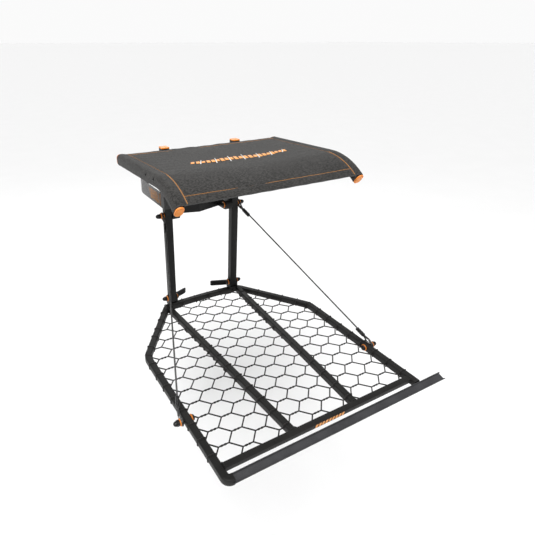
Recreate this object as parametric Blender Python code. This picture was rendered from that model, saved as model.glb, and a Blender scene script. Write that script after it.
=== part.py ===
"""Hang-on tree stand: two posts, a folding mesh platform, a flip-up sling seat, cables and a tree strap.

Frame: metres, +Z up, the front of the platform towards -Y, the tree towards +Y.
Origin: midway between the posts, on the axis of the two base bolts that the platform folds on.
"""
import bmesh
import bpy
from math import atan2, ceil, cos, hypot, pi, radians, sin, sqrt, tan
from mathutils import Matrix, Vector

# ---------------------------------------------------------------- driving dimensions
GAP = 0.0003                 # clearance left between touching pieces
TUBE = 0.0254                # one-inch square tube of the posts and the trunk bracket
TUBE_R = TUBE / 2
RAIL = 0.0200                # square tube of the platform
RAIL_R = RAIL / 2
WALL = 0.0016
SIDES = 12                   # sides of a round tube

POST_X = 0.125               # post centre to stand centre
POST_BOTTOM = -0.0132        # its corners clear the hinge bracket's base as the platform folds
POST_TOP = 0.528
TOP_BOLT_Z = 0.3126
SEAT_PIN_Z = 0.510

FRAME_Z = -0.036             # centre height of every platform tube
CORNER_R = 0.0035            # rounded edges of the platform's square tubes
HINGE_BASE_TOP = -0.0190     # stays under the posts' lower ends as the platform folds
BEND_X = 0.146               # rear bar to diagonal
CORNER = (0.311, -0.237)     # diagonal to side rail
REAR_ARCH = 0.005
RAIL_END_LEFT = -0.728
RAIL_END_RIGHT = -0.7065
FRONT_BAR_DEPTH = 0.0170
FRONT_BAR_HEIGHT = 0.0150
FRONT_BAR_Y = -0.6853
FRONT_BAR_Z = -0.0315
INNER_REAR_X = 0.1455
INNER_FRONT_X = 0.1005

HEX_PITCH_X = 0.0525         # column to column
HEX_PITCH_Y = 0.0527         # row to row within a column
HEX_FLAT = 0.029             # length of the sides that run along X
HEX_ORIGIN = (-0.006, -0.3917)
WIRE = 0.0036
HEX_REACH = 0.030            # how far outside a panel an opening's centre can lie and still cut it

FOOT_Y = -0.7185
FOOT_LEFT = -0.3005
FOOT_RIGHT = 0.400
FOOT_WIDTH = 0.0235
FOOT_LIP = 0.0068
FOOT_SHEET = 0.0022
FOOT_TILT = radians(18)

BOLT_R = 0.0048
WASHER_R = 0.0105
WASHER_T = 0.0027
NUT_R = 0.0085

CABLE_R = 0.0024
CABLE_STEP = 0.009           # spacing of the points round a cable's eyes
CABLE_BOLT_Y = -0.517
CABLE_BOLT_Z = -0.034
EYE_GAP = 0.0062             # room for the cable's eye between two washers
EYE_R = 0.0098
EYE_TO_SLEEVE = 0.033
SLEEVE_LENGTH = 0.034

SEAT_X = 0.268               # centre of a seat rail
SEAT_RAIL_W = 0.020
SEAT_RAIL_H = 0.030
SEAT_REAR = (-0.0185, 0.5132)
SEAT_KNEE = (-0.300, 0.5235)
SEAT_BEND_R = 0.183
SEAT_DROP = radians(38)
CAP_STEPS = (0.0, 0.0025, 0.0042)
SLEEVE_CLOTH = 0.0020
SHEET_CLOTH = 0.0040
SLING_REAR_INSET = 0.004     # keeps the cloth's rear edge clear of the post caps as the seat flips
SLING_FRONT_INSET = 0.003
CROSS_R = 0.011
CROSS_YZ = ((-0.060, 0.510), (-0.275, 0.516))
ARM_X = 0.102
ARM = 0.019
STOP_Z = 0.415

STRAP_LOW = 0.337
STRAP_HIGH = 0.388
STRAP_T = 0.0024
TRUNK_Y = 0.170               # centre of the trunk that the strap and brackets fit

COLOURS = {
    "powder_coat": ((0.030, 0.030, 0.029), 0.50, 0.0),
    "frame_coat": ((0.028, 0.028, 0.027), 0.45, 0.0),
    "channel_coat": ((0.070, 0.070, 0.074), 0.60, 0.0),
    "cloth": ((0.060, 0.058, 0.056), 0.95, 0.0),
    "orange_plastic": ((0.80, 0.22, 0.03), 0.35, 0.0),
    "black_steel": ((0.020, 0.020, 0.020), 0.35, 0.8),
    "cable_jacket": ((0.012, 0.012, 0.012), 0.40, 0.0),
    "webbing": ((0.025, 0.025, 0.025), 0.90, 0.0),
    "coated_wire": ((0.045, 0.040, 0.040), 0.50, 0.0),
}
MATERIALS = {}


# ---------------------------------------------------------------- scene and materials
def clear_scene():
    for thing in list(bpy.data.objects):
        bpy.data.objects.remove(thing, do_unlink=True)


def make_materials():
    for name, (colour, roughness, metallic) in COLOURS.items():
        material = bpy.data.materials.new(name)
        material.use_nodes = True
        shader = material.node_tree.nodes["Principled BSDF"]
        shader.inputs["Base Color"].default_value = (*colour, 1.0)
        shader.inputs["Roughness"].default_value = roughness
        shader.inputs["Metallic"].default_value = metallic
        MATERIALS[name] = material


# ---------------------------------------------------------------- mesh helpers
def object_from_bmesh(name, bm, material):
    """Close a bmesh into a linked object with outward faces and smooth round sides."""
    bmesh.ops.recalc_face_normals(bm, faces=bm.faces)
    mesh = bpy.data.meshes.new(name)
    bm.to_mesh(mesh)
    bm.free()
    mesh.materials.append(MATERIALS[material])
    mesh.shade_smooth()
    mesh.set_sharp_from_angle(angle=radians(35))
    thing = bpy.data.objects.new(name, mesh)
    bpy.context.scene.collection.objects.link(thing)
    return thing


def boolean(body, operation, tools):
    """Run one exact Boolean for each tool, keep the result as plain mesh, drop the tools."""
    for tool in tools:
        step = body.modifiers.new("boolean", "BOOLEAN")
        step.operation = operation
        step.solver = "EXACT"
        step.object = tool
        graph = bpy.context.evaluated_depsgraph_get()
        result = bpy.data.meshes.new_from_object(body.evaluated_get(graph))
        body.modifiers.clear()
        body.data = result
        bpy.data.objects.remove(tool, do_unlink=True)
    body.data.shade_smooth()
    body.data.set_sharp_from_angle(angle=radians(35))
    return body


def box(name, low, high, material, turn=None, centre=None):
    """Box between two corners, optionally turned by a matrix about a centre."""
    bm = bmesh.new()
    bmesh.ops.create_cube(bm, size=1.0)
    size = [h - l for l, h in zip(low, high)]
    middle = Vector([(h + l) / 2 for l, h in zip(low, high)])
    bmesh.ops.scale(bm, vec=size, verts=bm.verts)
    bmesh.ops.translate(bm, vec=middle, verts=bm.verts)
    if turn is not None:
        bmesh.ops.rotate(bm, cent=centre or middle, matrix=turn, verts=bm.verts)
    return object_from_bmesh(name, bm, material)


def circle(radius, sides=SIDES):
    return [(radius * cos(2 * pi * (k + 0.5) / sides), radius * sin(2 * pi * (k + 0.5) / sides))
            for k in range(sides)]


def stadium(width, height, steps=5):
    """Upright oval section: two half circles joined by straight sides."""
    radius = width / 2
    rise = height / 2 - radius
    top = [(radius * cos(pi * k / steps), rise + radius * sin(pi * k / steps)) for k in range(steps + 1)]
    return top + [(-x, -z) for x, z in top]


def rectangle(width, height):
    x, z = width / 2, height / 2
    return [(x, z), (-x, z), (-x, -z), (x, -z)]


def rounded_square(width, radius=CORNER_R, steps=2):
    """Square tube section with its corners rounded."""
    middle = width / 2 - radius
    section = []
    for quarter in range(4):
        corner = radians(45 + 90 * quarter)
        centre = (middle * sqrt(2) * cos(corner), middle * sqrt(2) * sin(corner))
        for k in range(steps + 1):
            turn = radians(90 * quarter + 90 * k / steps)
            section.append((centre[0] + radius * cos(turn), centre[1] + radius * sin(turn)))
    return section


def sweep(name, path, side, section, material, inner=None):
    """Carry a closed section along a path. Section x runs along side, y along the path's normal."""
    side = Vector(side).normalized()
    points = [Vector(p) for p in path]
    bm = bmesh.new()
    rings = []
    holes = []
    for k, point in enumerate(points):
        before = points[max(k - 1, 0)]
        after = points[min(k + 1, len(points) - 1)]
        normal = (after - before).normalized().cross(side).normalized()
        rings.append([bm.verts.new(point + side * x + normal * y) for x, y in section])
        if inner:
            holes.append([bm.verts.new(point + side * x + normal * y) for x, y in inner])
    for loops in (rings, holes):
        for a, b in zip(loops, loops[1:]):
            for i in range(len(a)):
                j = (i + 1) % len(a)
                bm.faces.new((a[i], a[j], b[j], b[i]))
    for end in (0, -1):
        if inner:
            a, b = rings[end], holes[end]
            for i in range(len(a)):
                j = (i + 1) % len(a)
                bm.faces.new((a[i], a[j], b[j], b[i]))
        else:
            bm.faces.new(rings[end])
    return object_from_bmesh(name, bm, material)


def revolve(name, profile, centre, direction, material, sides=SIDES, closed=False):
    """Turn (along, radius) points about an axis; closed joins the last point to the first."""
    axis = Vector(direction).normalized()
    across = axis.orthogonal().normalized()
    over = axis.cross(across)
    bm = bmesh.new()
    rings = []
    for along, radius in profile:
        base = Vector(centre) + axis * along
        turns = [2 * pi * k / sides for k in range(sides if radius else 1)]
        rings.append([bm.verts.new(base + (across * cos(t) + over * sin(t)) * radius) for t in turns])
    pairs = list(zip(rings, rings[1:]))
    if closed:
        pairs.append((rings[-1], rings[0]))
    for a, b in pairs:
        for i in range(sides):
            j = (i + 1) % sides
            face = [a[i % len(a)], a[j % len(a)], b[j % len(b)], b[i % len(b)]]
            bm.faces.new(list(dict.fromkeys(face)))
    return object_from_bmesh(name, bm, material)


def rod(name, centre, direction, start, end, radius, material, sides=SIDES):
    profile = [(start, 0), (start, radius), (end, radius), (end, 0)]
    return revolve(name, profile, centre, direction, material, sides)


def plate(name, outline, low, high, material, plane="xy"):
    """Flat plate: an outline in the xy or yz plane, extruded between two levels of the third axis."""
    bm = bmesh.new()
    place = {"xy": lambda a, b, c: (a, b, c), "yz": lambda a, b, c: (c, a, b)}[plane]
    bottom = [bm.verts.new(place(a, b, low)) for a, b in outline]
    top = [bm.verts.new(place(a, b, high)) for a, b in outline]
    bm.faces.new(bottom)
    bm.faces.new(top)
    for i in range(len(outline)):
        j = (i + 1) % len(outline)
        bm.faces.new((bottom[i], bottom[j], top[j], top[i]))
    return object_from_bmesh(name, bm, material)


def fillet(points, radii, turn_step=radians(11)):
    """2D polyline with each inner corner replaced by an arc of the given radius."""
    result = [points[0]]
    for a, b, c, radius in zip(points, points[1:], points[2:], radii):
        if radius == 0:
            result.append(b)
            continue
        a, b, c = Vector(a), Vector(b), Vector(c)
        into, out = (b - a).normalized(), (c - b).normalized()
        turn = atan2(into.cross(out), into.dot(out))
        reach = radius * tan(abs(turn) / 2)
        start = b - into * reach
        left = Vector((-into.y, into.x)) * (1 if turn > 0 else -1)
        middle = start + left * radius
        steps = max(2, ceil(abs(turn) / turn_step))
        for k in range(steps + 1):
            spoke = Matrix.Rotation(turn * k / steps, 2) @ (start - middle)
            result.append(tuple(middle + spoke))
    result.append(points[-1])
    return result


def smooth_path(points, step):
    """Points about one step apart on a Catmull-Rom curve through the given points."""
    pts = [Vector(p) for p in points]
    pts = [pts[0] * 2 - pts[1]] + pts + [pts[-1] * 2 - pts[-2]]
    result = []
    for p0, p1, p2, p3 in zip(pts, pts[1:], pts[2:], pts[3:]):
        count = max(1, round((p2 - p1).length / step))
        for k in range(count):
            t = k / count
            result.append(0.5 * (2 * p1 + (p2 - p0) * t + (2 * p0 - 5 * p1 + 4 * p2 - p3) * t ** 2
                                 + (3 * p1 - p0 - 3 * p2 + p3) * t ** 3))
    return result + [pts[-2]]


# ---------------------------------------------------------------- fasteners
def washer(name, inner_x, y, z, sign):
    """Nylon washer on an X axis, starting inner_x from the centre plane."""
    bore = BOLT_R + GAP
    profile = [(0, bore), (0, WASHER_R), (WASHER_T, WASHER_R), (WASHER_T, bore)]
    return revolve(name, profile, (sign * inner_x, y, z), (sign, 0, 0), "orange_plastic", 14, closed=True)


def dome_nut(name, inner_x, y, z, sign):
    """Hexagonal nut with a closed dome, still without its hole."""
    height = 0.008
    centre = (sign * inner_x, y, z)
    direction = (sign, 0, 0)
    body = revolve(name, [(0, 0), (0, NUT_R), (height, NUT_R), (height, 0)], centre, direction,
                   "black_steel", 6)
    dome = [(height - 0.001, 0), (height - 0.001, 0.0073)]
    dome += [(height + 0.0085 * sin(t), 0.0073 * cos(t)) for t in (0.3, 0.7, 1.1)]
    dome += [(height + 0.0085, 0)]
    return boolean(body, "UNION", [revolve("dome", dome, centre, direction, "black_steel")])


def bolt(name, head_x, tip_x, y, z, sign):
    """Button-head bolt along X. Its head sits inboard, and its tip points outwards."""
    head = 0.0055
    profile = [(-head, 0), (-head * 0.9, 0.0045), (-head * 0.5, 0.0078), (0, 0.0088), (0, BOLT_R),
               (tip_x - head_x, BOLT_R), (tip_x - head_x, 0)]
    return revolve(name, profile, (sign * head_x, y, z), (sign, 0, 0), "black_steel")


def stack_fasteners(group, side, sign, y, z, head_x, inner_washer_x, outer_washers_x):
    """One bolt with its washers and nut; outer_washers_x lists where each outer washer starts.

    The base bolts' nuts are locked on for good, so each of those pairs is one piece.
    """
    washer(f"{group}_washer_inner_{side}", inner_washer_x, y, z, sign)
    labels = ["outer"] if len(outer_washers_x) == 1 else ["middle", "outer"]
    for label, start in zip(labels, outer_washers_x):
        washer(f"{group}_washer_{label}_{side}", start, y, z, sign)
    nut_x = outer_washers_x[-1] + WASHER_T + GAP
    depth = 0.010
    nut = dome_nut(f"{group}_nut_{side}", nut_x, y, z, sign)
    shank = bolt(f"{group}_bolt_{side}", head_x, nut_x + depth, y, z, sign)
    if group == "base":
        boolean(shank, "UNION", [nut])
    else:
        hole = rod("hole", (sign * nut_x, y, z), (sign, 0, 0), -0.002, depth + GAP, BOLT_R + GAP,
                   "black_steel")
        boolean(nut, "DIFFERENCE", [hole])


# ---------------------------------------------------------------- posts and tree brackets
def make_post(side, sign):
    half = TUBE / 2
    x = sign * POST_X
    post = box(f"post_{side}", (x - half, -half, POST_BOTTOM), (x + half, half, POST_TOP), "powder_coat")
    inner = half - WALL
    core = box("core", (x - inner, -inner, POST_BOTTOM - 0.01), (x + inner, inner, POST_TOP + 0.01),
               "powder_coat")
    tools = [core]
    for z in (0.0, TOP_BOLT_Z, SEAT_PIN_Z):
        tools.append(rod("hole", (x, 0, z), (1, 0, 0), -0.03, 0.03, BOLT_R + GAP, "powder_coat"))
    boolean(post, "DIFFERENCE", tools)


def make_post_cap(side, sign):
    """Push-in cap: a flange over the tube's end and a plug inside it."""
    x = sign * POST_X
    half = TUBE_R + GAP
    low = POST_TOP + GAP
    cap = box(f"post_cap_{side}", (x - half, -half, low), (x + half, half, low + 0.0042), "orange_plastic")
    plug_half = TUBE / 2 - WALL - GAP
    plug = box("plug", (x - plug_half, -plug_half, POST_TOP - 0.008), (x + plug_half, plug_half, low + 0.001),
               "orange_plastic")
    boolean(cap, "UNION", [plug])


def make_lower_claw(side, sign):
    """Bent plate on the back of a post whose pointed end bites the trunk."""
    back = TUBE / 2 + GAP
    plan = [(0.1365, back), (0.118, back), (0.0585, 0.0355), (0.052, 0.0415), (0.060, 0.0425),
            (0.119, back + 0.007), (0.1365, back + 0.007)]
    plan = [(sign * x, y) for x, y in plan]
    plate(f"lower_claw_{side}", plan, -0.0215, -0.0015, "powder_coat")


def make_upper_bracket():
    """Two arms from the top bolts back to a V that seats on the trunk."""
    outer = POST_X - TUBE / 2 - GAP
    low, high = TOP_BOLT_Z - 0.016, TOP_BOLT_Z + 0.016
    vee = [(-0.100, 0.044), (0, 0.016), (0.100, 0.044), (0.100, 0.052), (0.0, 0.024), (-0.100, 0.052)]
    bracket = plate("upper_bracket", vee, low, high, "powder_coat")
    for sign in (-1, 1):
        xs = sorted((sign * outer, sign * (outer - TUBE)))
        turns = [pi * k / 8 for k in range(9)]
        nose = [(-0.004 - 0.013 * sin(t), TOP_BOLT_Z + 0.016 * cos(t)) for t in turns]
        arm = plate("arm", [(0.056, low), (0.056, high)] + nose, xs[0], xs[1], "powder_coat", "yz")
        boolean(bracket, "UNION", [arm])
        hole = rod("hole", (sign * POST_X, 0, TOP_BOLT_Z), (sign, 0, 0), -0.05, 0.02, BOLT_R + GAP,
                   "powder_coat")
        boolean(bracket, "DIFFERENCE", [hole])


# ---------------------------------------------------------------- platform
def frame_line():
    """Centre line of the bent perimeter tube, from the left rail's end round to the right rail's end."""
    x, y = CORNER
    corners = [(-x, RAIL_END_LEFT), (-x, y), (-BEND_X, 0), (0, REAR_ARCH), (BEND_X, 0), (x, y),
               (x, RAIL_END_RIGHT)]
    return [(a, b, FRAME_Z) for a, b in fillet(corners, [0.045, 0.040, 1.5, 0.040, 0.045])]


def make_platform_frame():
    frame = sweep("platform_frame", frame_line(), (0, 0, 1), rounded_square(RAIL), "frame_coat",
                  inner=rounded_square(RAIL - 2 * WALL, CORNER_R - WALL))
    hole = rod("hole", (0, CABLE_BOLT_Y, CABLE_BOLT_Z), (1, 0, 0), -0.35, 0.35, BOLT_R + GAP, "frame_coat")
    boolean(frame, "DIFFERENCE", [hole])


def make_front_bar():
    ends = [(-CORNER[0], FRONT_BAR_Y, FRONT_BAR_Z), (CORNER[0], FRONT_BAR_Y, FRONT_BAR_Z)]
    bar = sweep("front_bar", ends, (0, 0, 1), rectangle(FRONT_BAR_HEIGHT, FRONT_BAR_DEPTH), "frame_coat")
    cope = sweep("cope", frame_line(), (0, 0, 1), rounded_square(RAIL + 2 * GAP), "frame_coat")
    boolean(bar, "DIFFERENCE", [cope])


def make_inner_bar(side, sign):
    ends = [(sign * INNER_REAR_X, 0.0, FRAME_Z), (sign * INNER_FRONT_X, FRONT_BAR_Y, FRAME_Z)]
    bar = sweep(f"inner_bar_{side}", ends, (0, 0, 1), rounded_square(RAIL), "frame_coat")
    rear = sweep("rear", frame_line(), (0, 0, 1), rounded_square(RAIL + 2 * GAP), "frame_coat")
    front = box("front", (-0.3, FRONT_BAR_Y - 0.05, FRAME_Z - 0.05),
                (0.3, FRONT_BAR_Y + FRONT_BAR_DEPTH / 2 + GAP, FRAME_Z + 0.05), "frame_coat")
    boolean(bar, "DIFFERENCE", [rear, front])
    keep_largest_part(bar)


def keep_largest_part(thing):
    """Drop the scraps that a coping cut leaves beyond the neighbouring tube."""
    bm = bmesh.new()
    bm.from_mesh(thing.data)
    left = set(bm.verts)
    groups = []
    while left:
        stack = [left.pop()]
        group = set(stack)
        while stack:
            for edge in stack.pop().link_edges:
                for vert in edge.verts:
                    if vert in left:
                        left.discard(vert)
                        group.add(vert)
                        stack.append(vert)
        groups.append(group)
    groups.sort(key=len)
    for group in groups[:-1]:
        bmesh.ops.delete(bm, geom=list(group), context="VERTS")
    bm.to_mesh(thing.data)
    bm.free()


def inset_line(a, b, distance):
    """Line a-b moved to its left by a distance, as (point, direction)."""
    a, b = Vector(a), Vector(b)
    direction = (b - a).normalized()
    return a + Vector((-direction.y, direction.x)) * distance, direction


def meet(first, second):
    (p, r), (q, s) = first, second
    t = (q - p).cross(s) / r.cross(s)
    return tuple(p + r * t)


def inset_outline(corners, distances):
    """Corners (counter-clockwise) with side k moved inwards by distances[k]."""
    count = len(corners)
    lines = [inset_line(corners[k], corners[(k + 1) % count], distances[k]) for k in range(count)]
    return [meet(lines[k - 1], lines[k]) for k in range(count)]


def panel_corners():
    """Centre-line outlines of the mesh panels: corners, clearance of each side, radius of each corner."""
    x, y = CORNER
    rear = (INNER_REAR_X, 0.0)
    front = (INNER_FRONT_X, FRONT_BAR_Y)
    bend = 0.045 - RAIL_R
    right = [rear, front, (x, FRONT_BAR_Y), (x, y)]
    left = [(-a, b) for a, b in (rear, (x, y), (x, FRONT_BAR_Y), front)]
    middle = [(-rear[0], rear[1]), (-front[0], front[1]), front, rear]
    return {"left": (left, [RAIL_R, RAIL_R, FRONT_BAR_DEPTH / 2, RAIL_R], [bend, 0, 0]),
            "middle": (middle, [RAIL_R, FRONT_BAR_DEPTH / 2, RAIL_R, RAIL_R + 0.0008], [0, 0, 0]),
            "right": (right, [RAIL_R, FRONT_BAR_DEPTH / 2, RAIL_R, RAIL_R], [0, 0, bend])}


def panel_outline(corners, distances, bends):
    outline = inset_outline(corners, distances)
    return fillet(outline + outline[:1], bends)[:-1]


def hexagon(centre_x, centre_y):
    """One mesh opening: two sides along X, shrunk by half a wire all round."""
    half_flat = HEX_FLAT / 2
    half_row = HEX_PITCH_Y / 2
    reach = HEX_PITCH_X - half_flat
    shrink = WIRE / 2
    slant = hypot(reach - half_flat, half_row)
    tip = reach - shrink * slant / half_row
    flat = half_flat - shrink * (slant - (reach - half_flat)) / half_row
    shape = [(tip, 0), (flat, half_row - shrink), (-flat, half_row - shrink), (-tip, 0),
             (-flat, -half_row + shrink), (flat, -half_row + shrink)]
    return [(centre_x + a, centre_y + b) for a, b in shape]


def inside(outline, point, margin):
    """True when a point is further than margin inside a convex counter-clockwise outline."""
    for k, a in enumerate(outline):
        start, direction = inset_line(a, outline[(k + 1) % len(outline)], margin)
        if direction.cross(Vector(point) - start) < 0:
            return False
    return True


def hex_centres():
    columns = int(0.36 / HEX_PITCH_X)
    rows = int(0.40 / HEX_PITCH_Y)
    for i in range(-columns, columns + 2):
        for j in range(-rows - 1, rows + 3):
            offset = HEX_PITCH_Y / 2 if i % 2 else 0.0
            yield HEX_ORIGIN[0] + i * HEX_PITCH_X, HEX_ORIGIN[1] + HEX_PITCH_Y / 2 + offset + j * HEX_PITCH_Y


def make_mesh_panel(label, corners, radii, bends):
    """Hexagonal mesh panel with a thin selvedge wire all round it."""
    outer = panel_outline(corners, [r + 2 * GAP for r in radii], bends)
    inner = panel_outline(corners, [r + 2 * GAP + WIRE for r in radii], bends)
    low, high = FRAME_Z - WIRE / 2, FRAME_Z + WIRE / 2
    panel = plate(f"mesh_panel_{label}", outer, low, high, "coated_wire")
    bm = bmesh.new()
    for centre in hex_centres():
        if inside(inner, centre, -HEX_REACH):
            ring = [bm.verts.new((a, b, low - 0.003)) for a, b in hexagon(*centre)]
            face = bm.faces.new(ring)
            lifted = bmesh.ops.extrude_face_region(bm, geom=[face])
            tops = [v for v in lifted["geom"] if isinstance(v, bmesh.types.BMVert)]
            bmesh.ops.translate(bm, vec=(0, 0, high - low + 0.006), verts=tops)
    holes = object_from_bmesh("holes", bm, "coated_wire")
    boolean(holes, "INTERSECT", [plate("window", inner, low - 0.002, high + 0.002, "coated_wire")])
    notches = [box("notch", *box_corners(sign, CORNER[0] - 0.0265, CORNER[0] + 0.01, CABLE_BOLT_Y - 0.0135,
                                         CABLE_BOLT_Y + 0.0135, low - 0.002, high + 0.002), "coated_wire")
               for sign in (-1, 1)]
    boolean(panel, "DIFFERENCE", [holes, *notches])
    keep_largest_part(panel)


def make_hinge_bracket(side, sign):
    """Ears welded to the rear tube, one on each side of the post, joined under it."""
    front, back = -0.013, 0.013
    ear = [(back, FRAME_Z + 0.0135), (back, 0.0)]
    ear += [(0.013 * cos(t), 0.013 * sin(t)) for t in [pi * k / 8 for k in range(1, 8)]]
    ear += [(front, 0.0), (front, FRAME_Z + 0.0135)]
    inner_face = POST_X - TUBE / 2 - GAP
    outer_face = POST_X + TUBE / 2 + GAP
    spans = [(inner_face - 0.004, inner_face), (outer_face, outer_face + 0.004)]
    base_low, base_high = FRAME_Z + RAIL_R + GAP, HINGE_BASE_TOP
    bracket = box(f"hinge_bracket_{side}", *box_corners(sign, spans[0][0], spans[1][1], front, back,
                                                        base_low, base_high), "frame_coat")
    for low_x, high_x in spans:
        xs = sorted((sign * low_x, sign * high_x))
        boolean(bracket, "UNION", [plate("ear", ear, xs[0], xs[1], "frame_coat", "yz")])
    hole = rod("hole", (sign * POST_X, 0, 0), (1, 0, 0), -0.03, 0.03, BOLT_R + GAP, "frame_coat")
    boolean(bracket, "DIFFERENCE", [hole])


def box_corners(sign, near_x, far_x, low_y, high_y, low_z, high_z):
    xs = sorted((sign * near_x, sign * far_x))
    return (xs[0], low_y, low_z), (xs[1], high_y, high_z)


def make_footrest():
    """Shallow channel, open side up and forwards, butted to the rails' ends."""
    half = FOOT_WIDTH / 2
    web = FOOT_SHEET
    outline = fillet([(-half, FOOT_LIP), (-half, 0), (half, 0), (half, FOOT_LIP)], [0.0055, 0.0055],
                     radians(23))
    inner = half - web
    inside_line = fillet([(-inner, FOOT_LIP), (-inner, web), (inner, web), (inner, FOOT_LIP)],
                         [0.0033, 0.0033], radians(23))
    section = outline + inside_line[::-1]
    lowered = [(a, b - 0.003) for a, b in section]
    turned = [(a * cos(FOOT_TILT) - b * sin(FOOT_TILT), a * sin(FOOT_TILT) + b * cos(FOOT_TILT))
              for a, b in lowered]
    shape = [(FOOT_Y + a, FRAME_Z + b) for a, b in turned]
    plate("footrest", shape, FOOT_LEFT, FOOT_RIGHT, "channel_coat", "yz")


# ---------------------------------------------------------------- cables
def cable_ends(sign):
    """Eye centres and the inner ends of the straight run, top first."""
    top_x = POST_X + TUBE_R + GAP + WASHER_T + GAP + EYE_GAP / 2
    low_x = CORNER[0] + RAIL_R + GAP + WASHER_T + GAP + EYE_GAP / 2
    top = Vector((sign * top_x, 0, TOP_BOLT_Z))
    low = Vector((sign * low_x, CABLE_BOLT_Y, CABLE_BOLT_Z))
    down = Vector((0, low.y - top.y, low.z - top.z)).normalized()
    lean = Vector((sign * 0.003, 0, 0))
    return top, low, down, top + down * EYE_TO_SLEEVE + lean, low - down * EYE_TO_SLEEVE - lean


def eye_points(centre, mouth, along, run, pitch):
    """Cable points from a strand's end in the sleeve, round the bolt and back to the other strand."""
    across = Vector((1, 0, 0)).cross(along).normalized()
    points = [mouth + run * SLEEVE_LENGTH + across * pitch, mouth + across * pitch,
              centre + along * 0.0175 + across * 0.0072]
    for degrees in (60, 100, 140, 180, 220, 260, 300):
        turn = radians(degrees)
        points.append(centre + (along * cos(turn) + across * sin(turn)) * EYE_R)
    points += [centre + along * 0.0175 - across * 0.0072, mouth - across * pitch,
               mouth + run * SLEEVE_LENGTH - across * pitch]
    return points


def make_cable(side, sign):
    """One cable end to end: round the post's bolt, down, round the rail's bolt and back."""
    top, low, down, high_mouth, low_mouth = cable_ends(sign)
    run = (low_mouth - high_mouth).normalized()
    pitch = CABLE_R + GAP / 2
    route = eye_points(top, high_mouth, down, run, pitch)
    tail = eye_points(low, low_mouth, -down, -run, pitch)
    points = smooth_path(route, CABLE_STEP) + smooth_path(tail, CABLE_STEP)
    curve = bpy.data.curves.new(f"cable_{side}", "CURVE")
    curve.dimensions = "3D"
    curve.bevel_depth = CABLE_R
    curve.bevel_resolution = 2
    curve.use_fill_caps = True
    spline = curve.splines.new("POLY")
    spline.points.add(len(points) - 1)
    for slot, point in zip(spline.points, points):
        slot.co = (*point, 1.0)
    curve.materials.append(MATERIALS["cable_jacket"])
    cable = bpy.data.objects.new(f"cable_{side}", curve)
    bpy.context.scene.collection.objects.link(cable)


def make_swage_sleeves(side, sign):
    """Oval sleeves crimped over the two strands below each eye."""
    top, low, down, high_mouth, low_mouth = cable_ends(sign)
    run = (low_mouth - high_mouth).normalized()
    across = Vector((1, 0, 0)).cross(run).normalized()
    wide = 4 * CABLE_R + GAP
    outer = stadium(2 * CABLE_R + 0.0044, wide + 0.0044, 6)
    hole = stadium(2 * CABLE_R + 2 * GAP, wide + 2 * GAP, 6)
    side_vector = across.cross(run)
    for label, mouth, direction in (("top", high_mouth, run), ("low", low_mouth, -run)):
        ends = [mouth + direction * 0.002, mouth + direction * (SLEEVE_LENGTH - 0.002)]
        sweep(f"sleeve_{label}_{side}", ends, side_vector, outer, "black_steel", inner=hole)


# ---------------------------------------------------------------- seat
def seat_line(rear_inset=0.0, front_inset=0.0, steps=9):
    """Rail centre line in (y, z): straight and rising slightly, then curved down at the front."""
    (y0, z0), (y1, z1) = SEAT_REAR, SEAT_KNEE
    rise = atan2(z1 - z0, y0 - y1)
    start = (y0 - rear_inset * cos(rise), z0 + rear_inset * sin(rise))
    drop = SEAT_DROP - front_inset / SEAT_BEND_R
    points = [start]
    for k in range(steps + 1):
        heading = rise - (rise + drop) * k / steps
        points.append((y1 - SEAT_BEND_R * (sin(rise) - sin(heading)),
                       z1 + SEAT_BEND_R * (cos(heading) - cos(rise))))
    return points


def at_x(points, x):
    return [(x, y, z) for y, z in points]


def make_seat_rail(side, sign):
    sweep(f"seat_rail_{side}", at_x(seat_line(), sign * SEAT_X), (1, 0, 0),
          stadium(SEAT_RAIL_W, SEAT_RAIL_H), "powder_coat")


def make_rail_caps(side, sign):
    """Oval caps on the front and rear ends of a seat rail."""
    line = [Vector(p) for p in at_x(seat_line(), sign * SEAT_X)]
    for label, before, end in (("front", line[-2], line[-1]), ("rear", line[1], line[0])):
        out = (end - before).normalized()
        points = [end + out * (GAP + d) for d in CAP_STEPS]
        cap = sweep(f"rail_cap_{label}_{side}", points, (1, 0, 0), stadium(0.0225, 0.0325), "orange_plastic")
        for vert in cap.data.vertices:
            if (vert.co - points[1]).dot(out) > GAP:
                vert.co = points[2] + (vert.co - points[2]) * 0.86


def sling_section():
    """Sleeve, top sheet and sleeve as one outline; y is measured up from the rails' centre."""
    width = SEAT_RAIL_W + 2 * (GAP + SLEEVE_CLOTH)
    height = SEAT_RAIL_H + 2 * (GAP + SLEEVE_CLOTH)
    radius = width / 2
    rise = height / 2 - radius
    under = height / 2 - SHEET_CLOTH
    start = atan2(under - rise, sqrt(radius ** 2 - (under - rise) ** 2))
    steps = 6
    right = [(radius * sin(pi / 2 * k / 3), rise + radius * cos(pi / 2 * k / 3)) for k in range(4)]
    right += [(radius * cos(pi * k / steps), -rise - radius * sin(pi * k / steps)) for k in range(steps + 1)]
    right += [(-radius, rise), (-radius * cos(start), under)]
    right = [(SEAT_X + a, b) for a, b in right]
    return right + [(-a, b) for a, b in reversed(right)]


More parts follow.
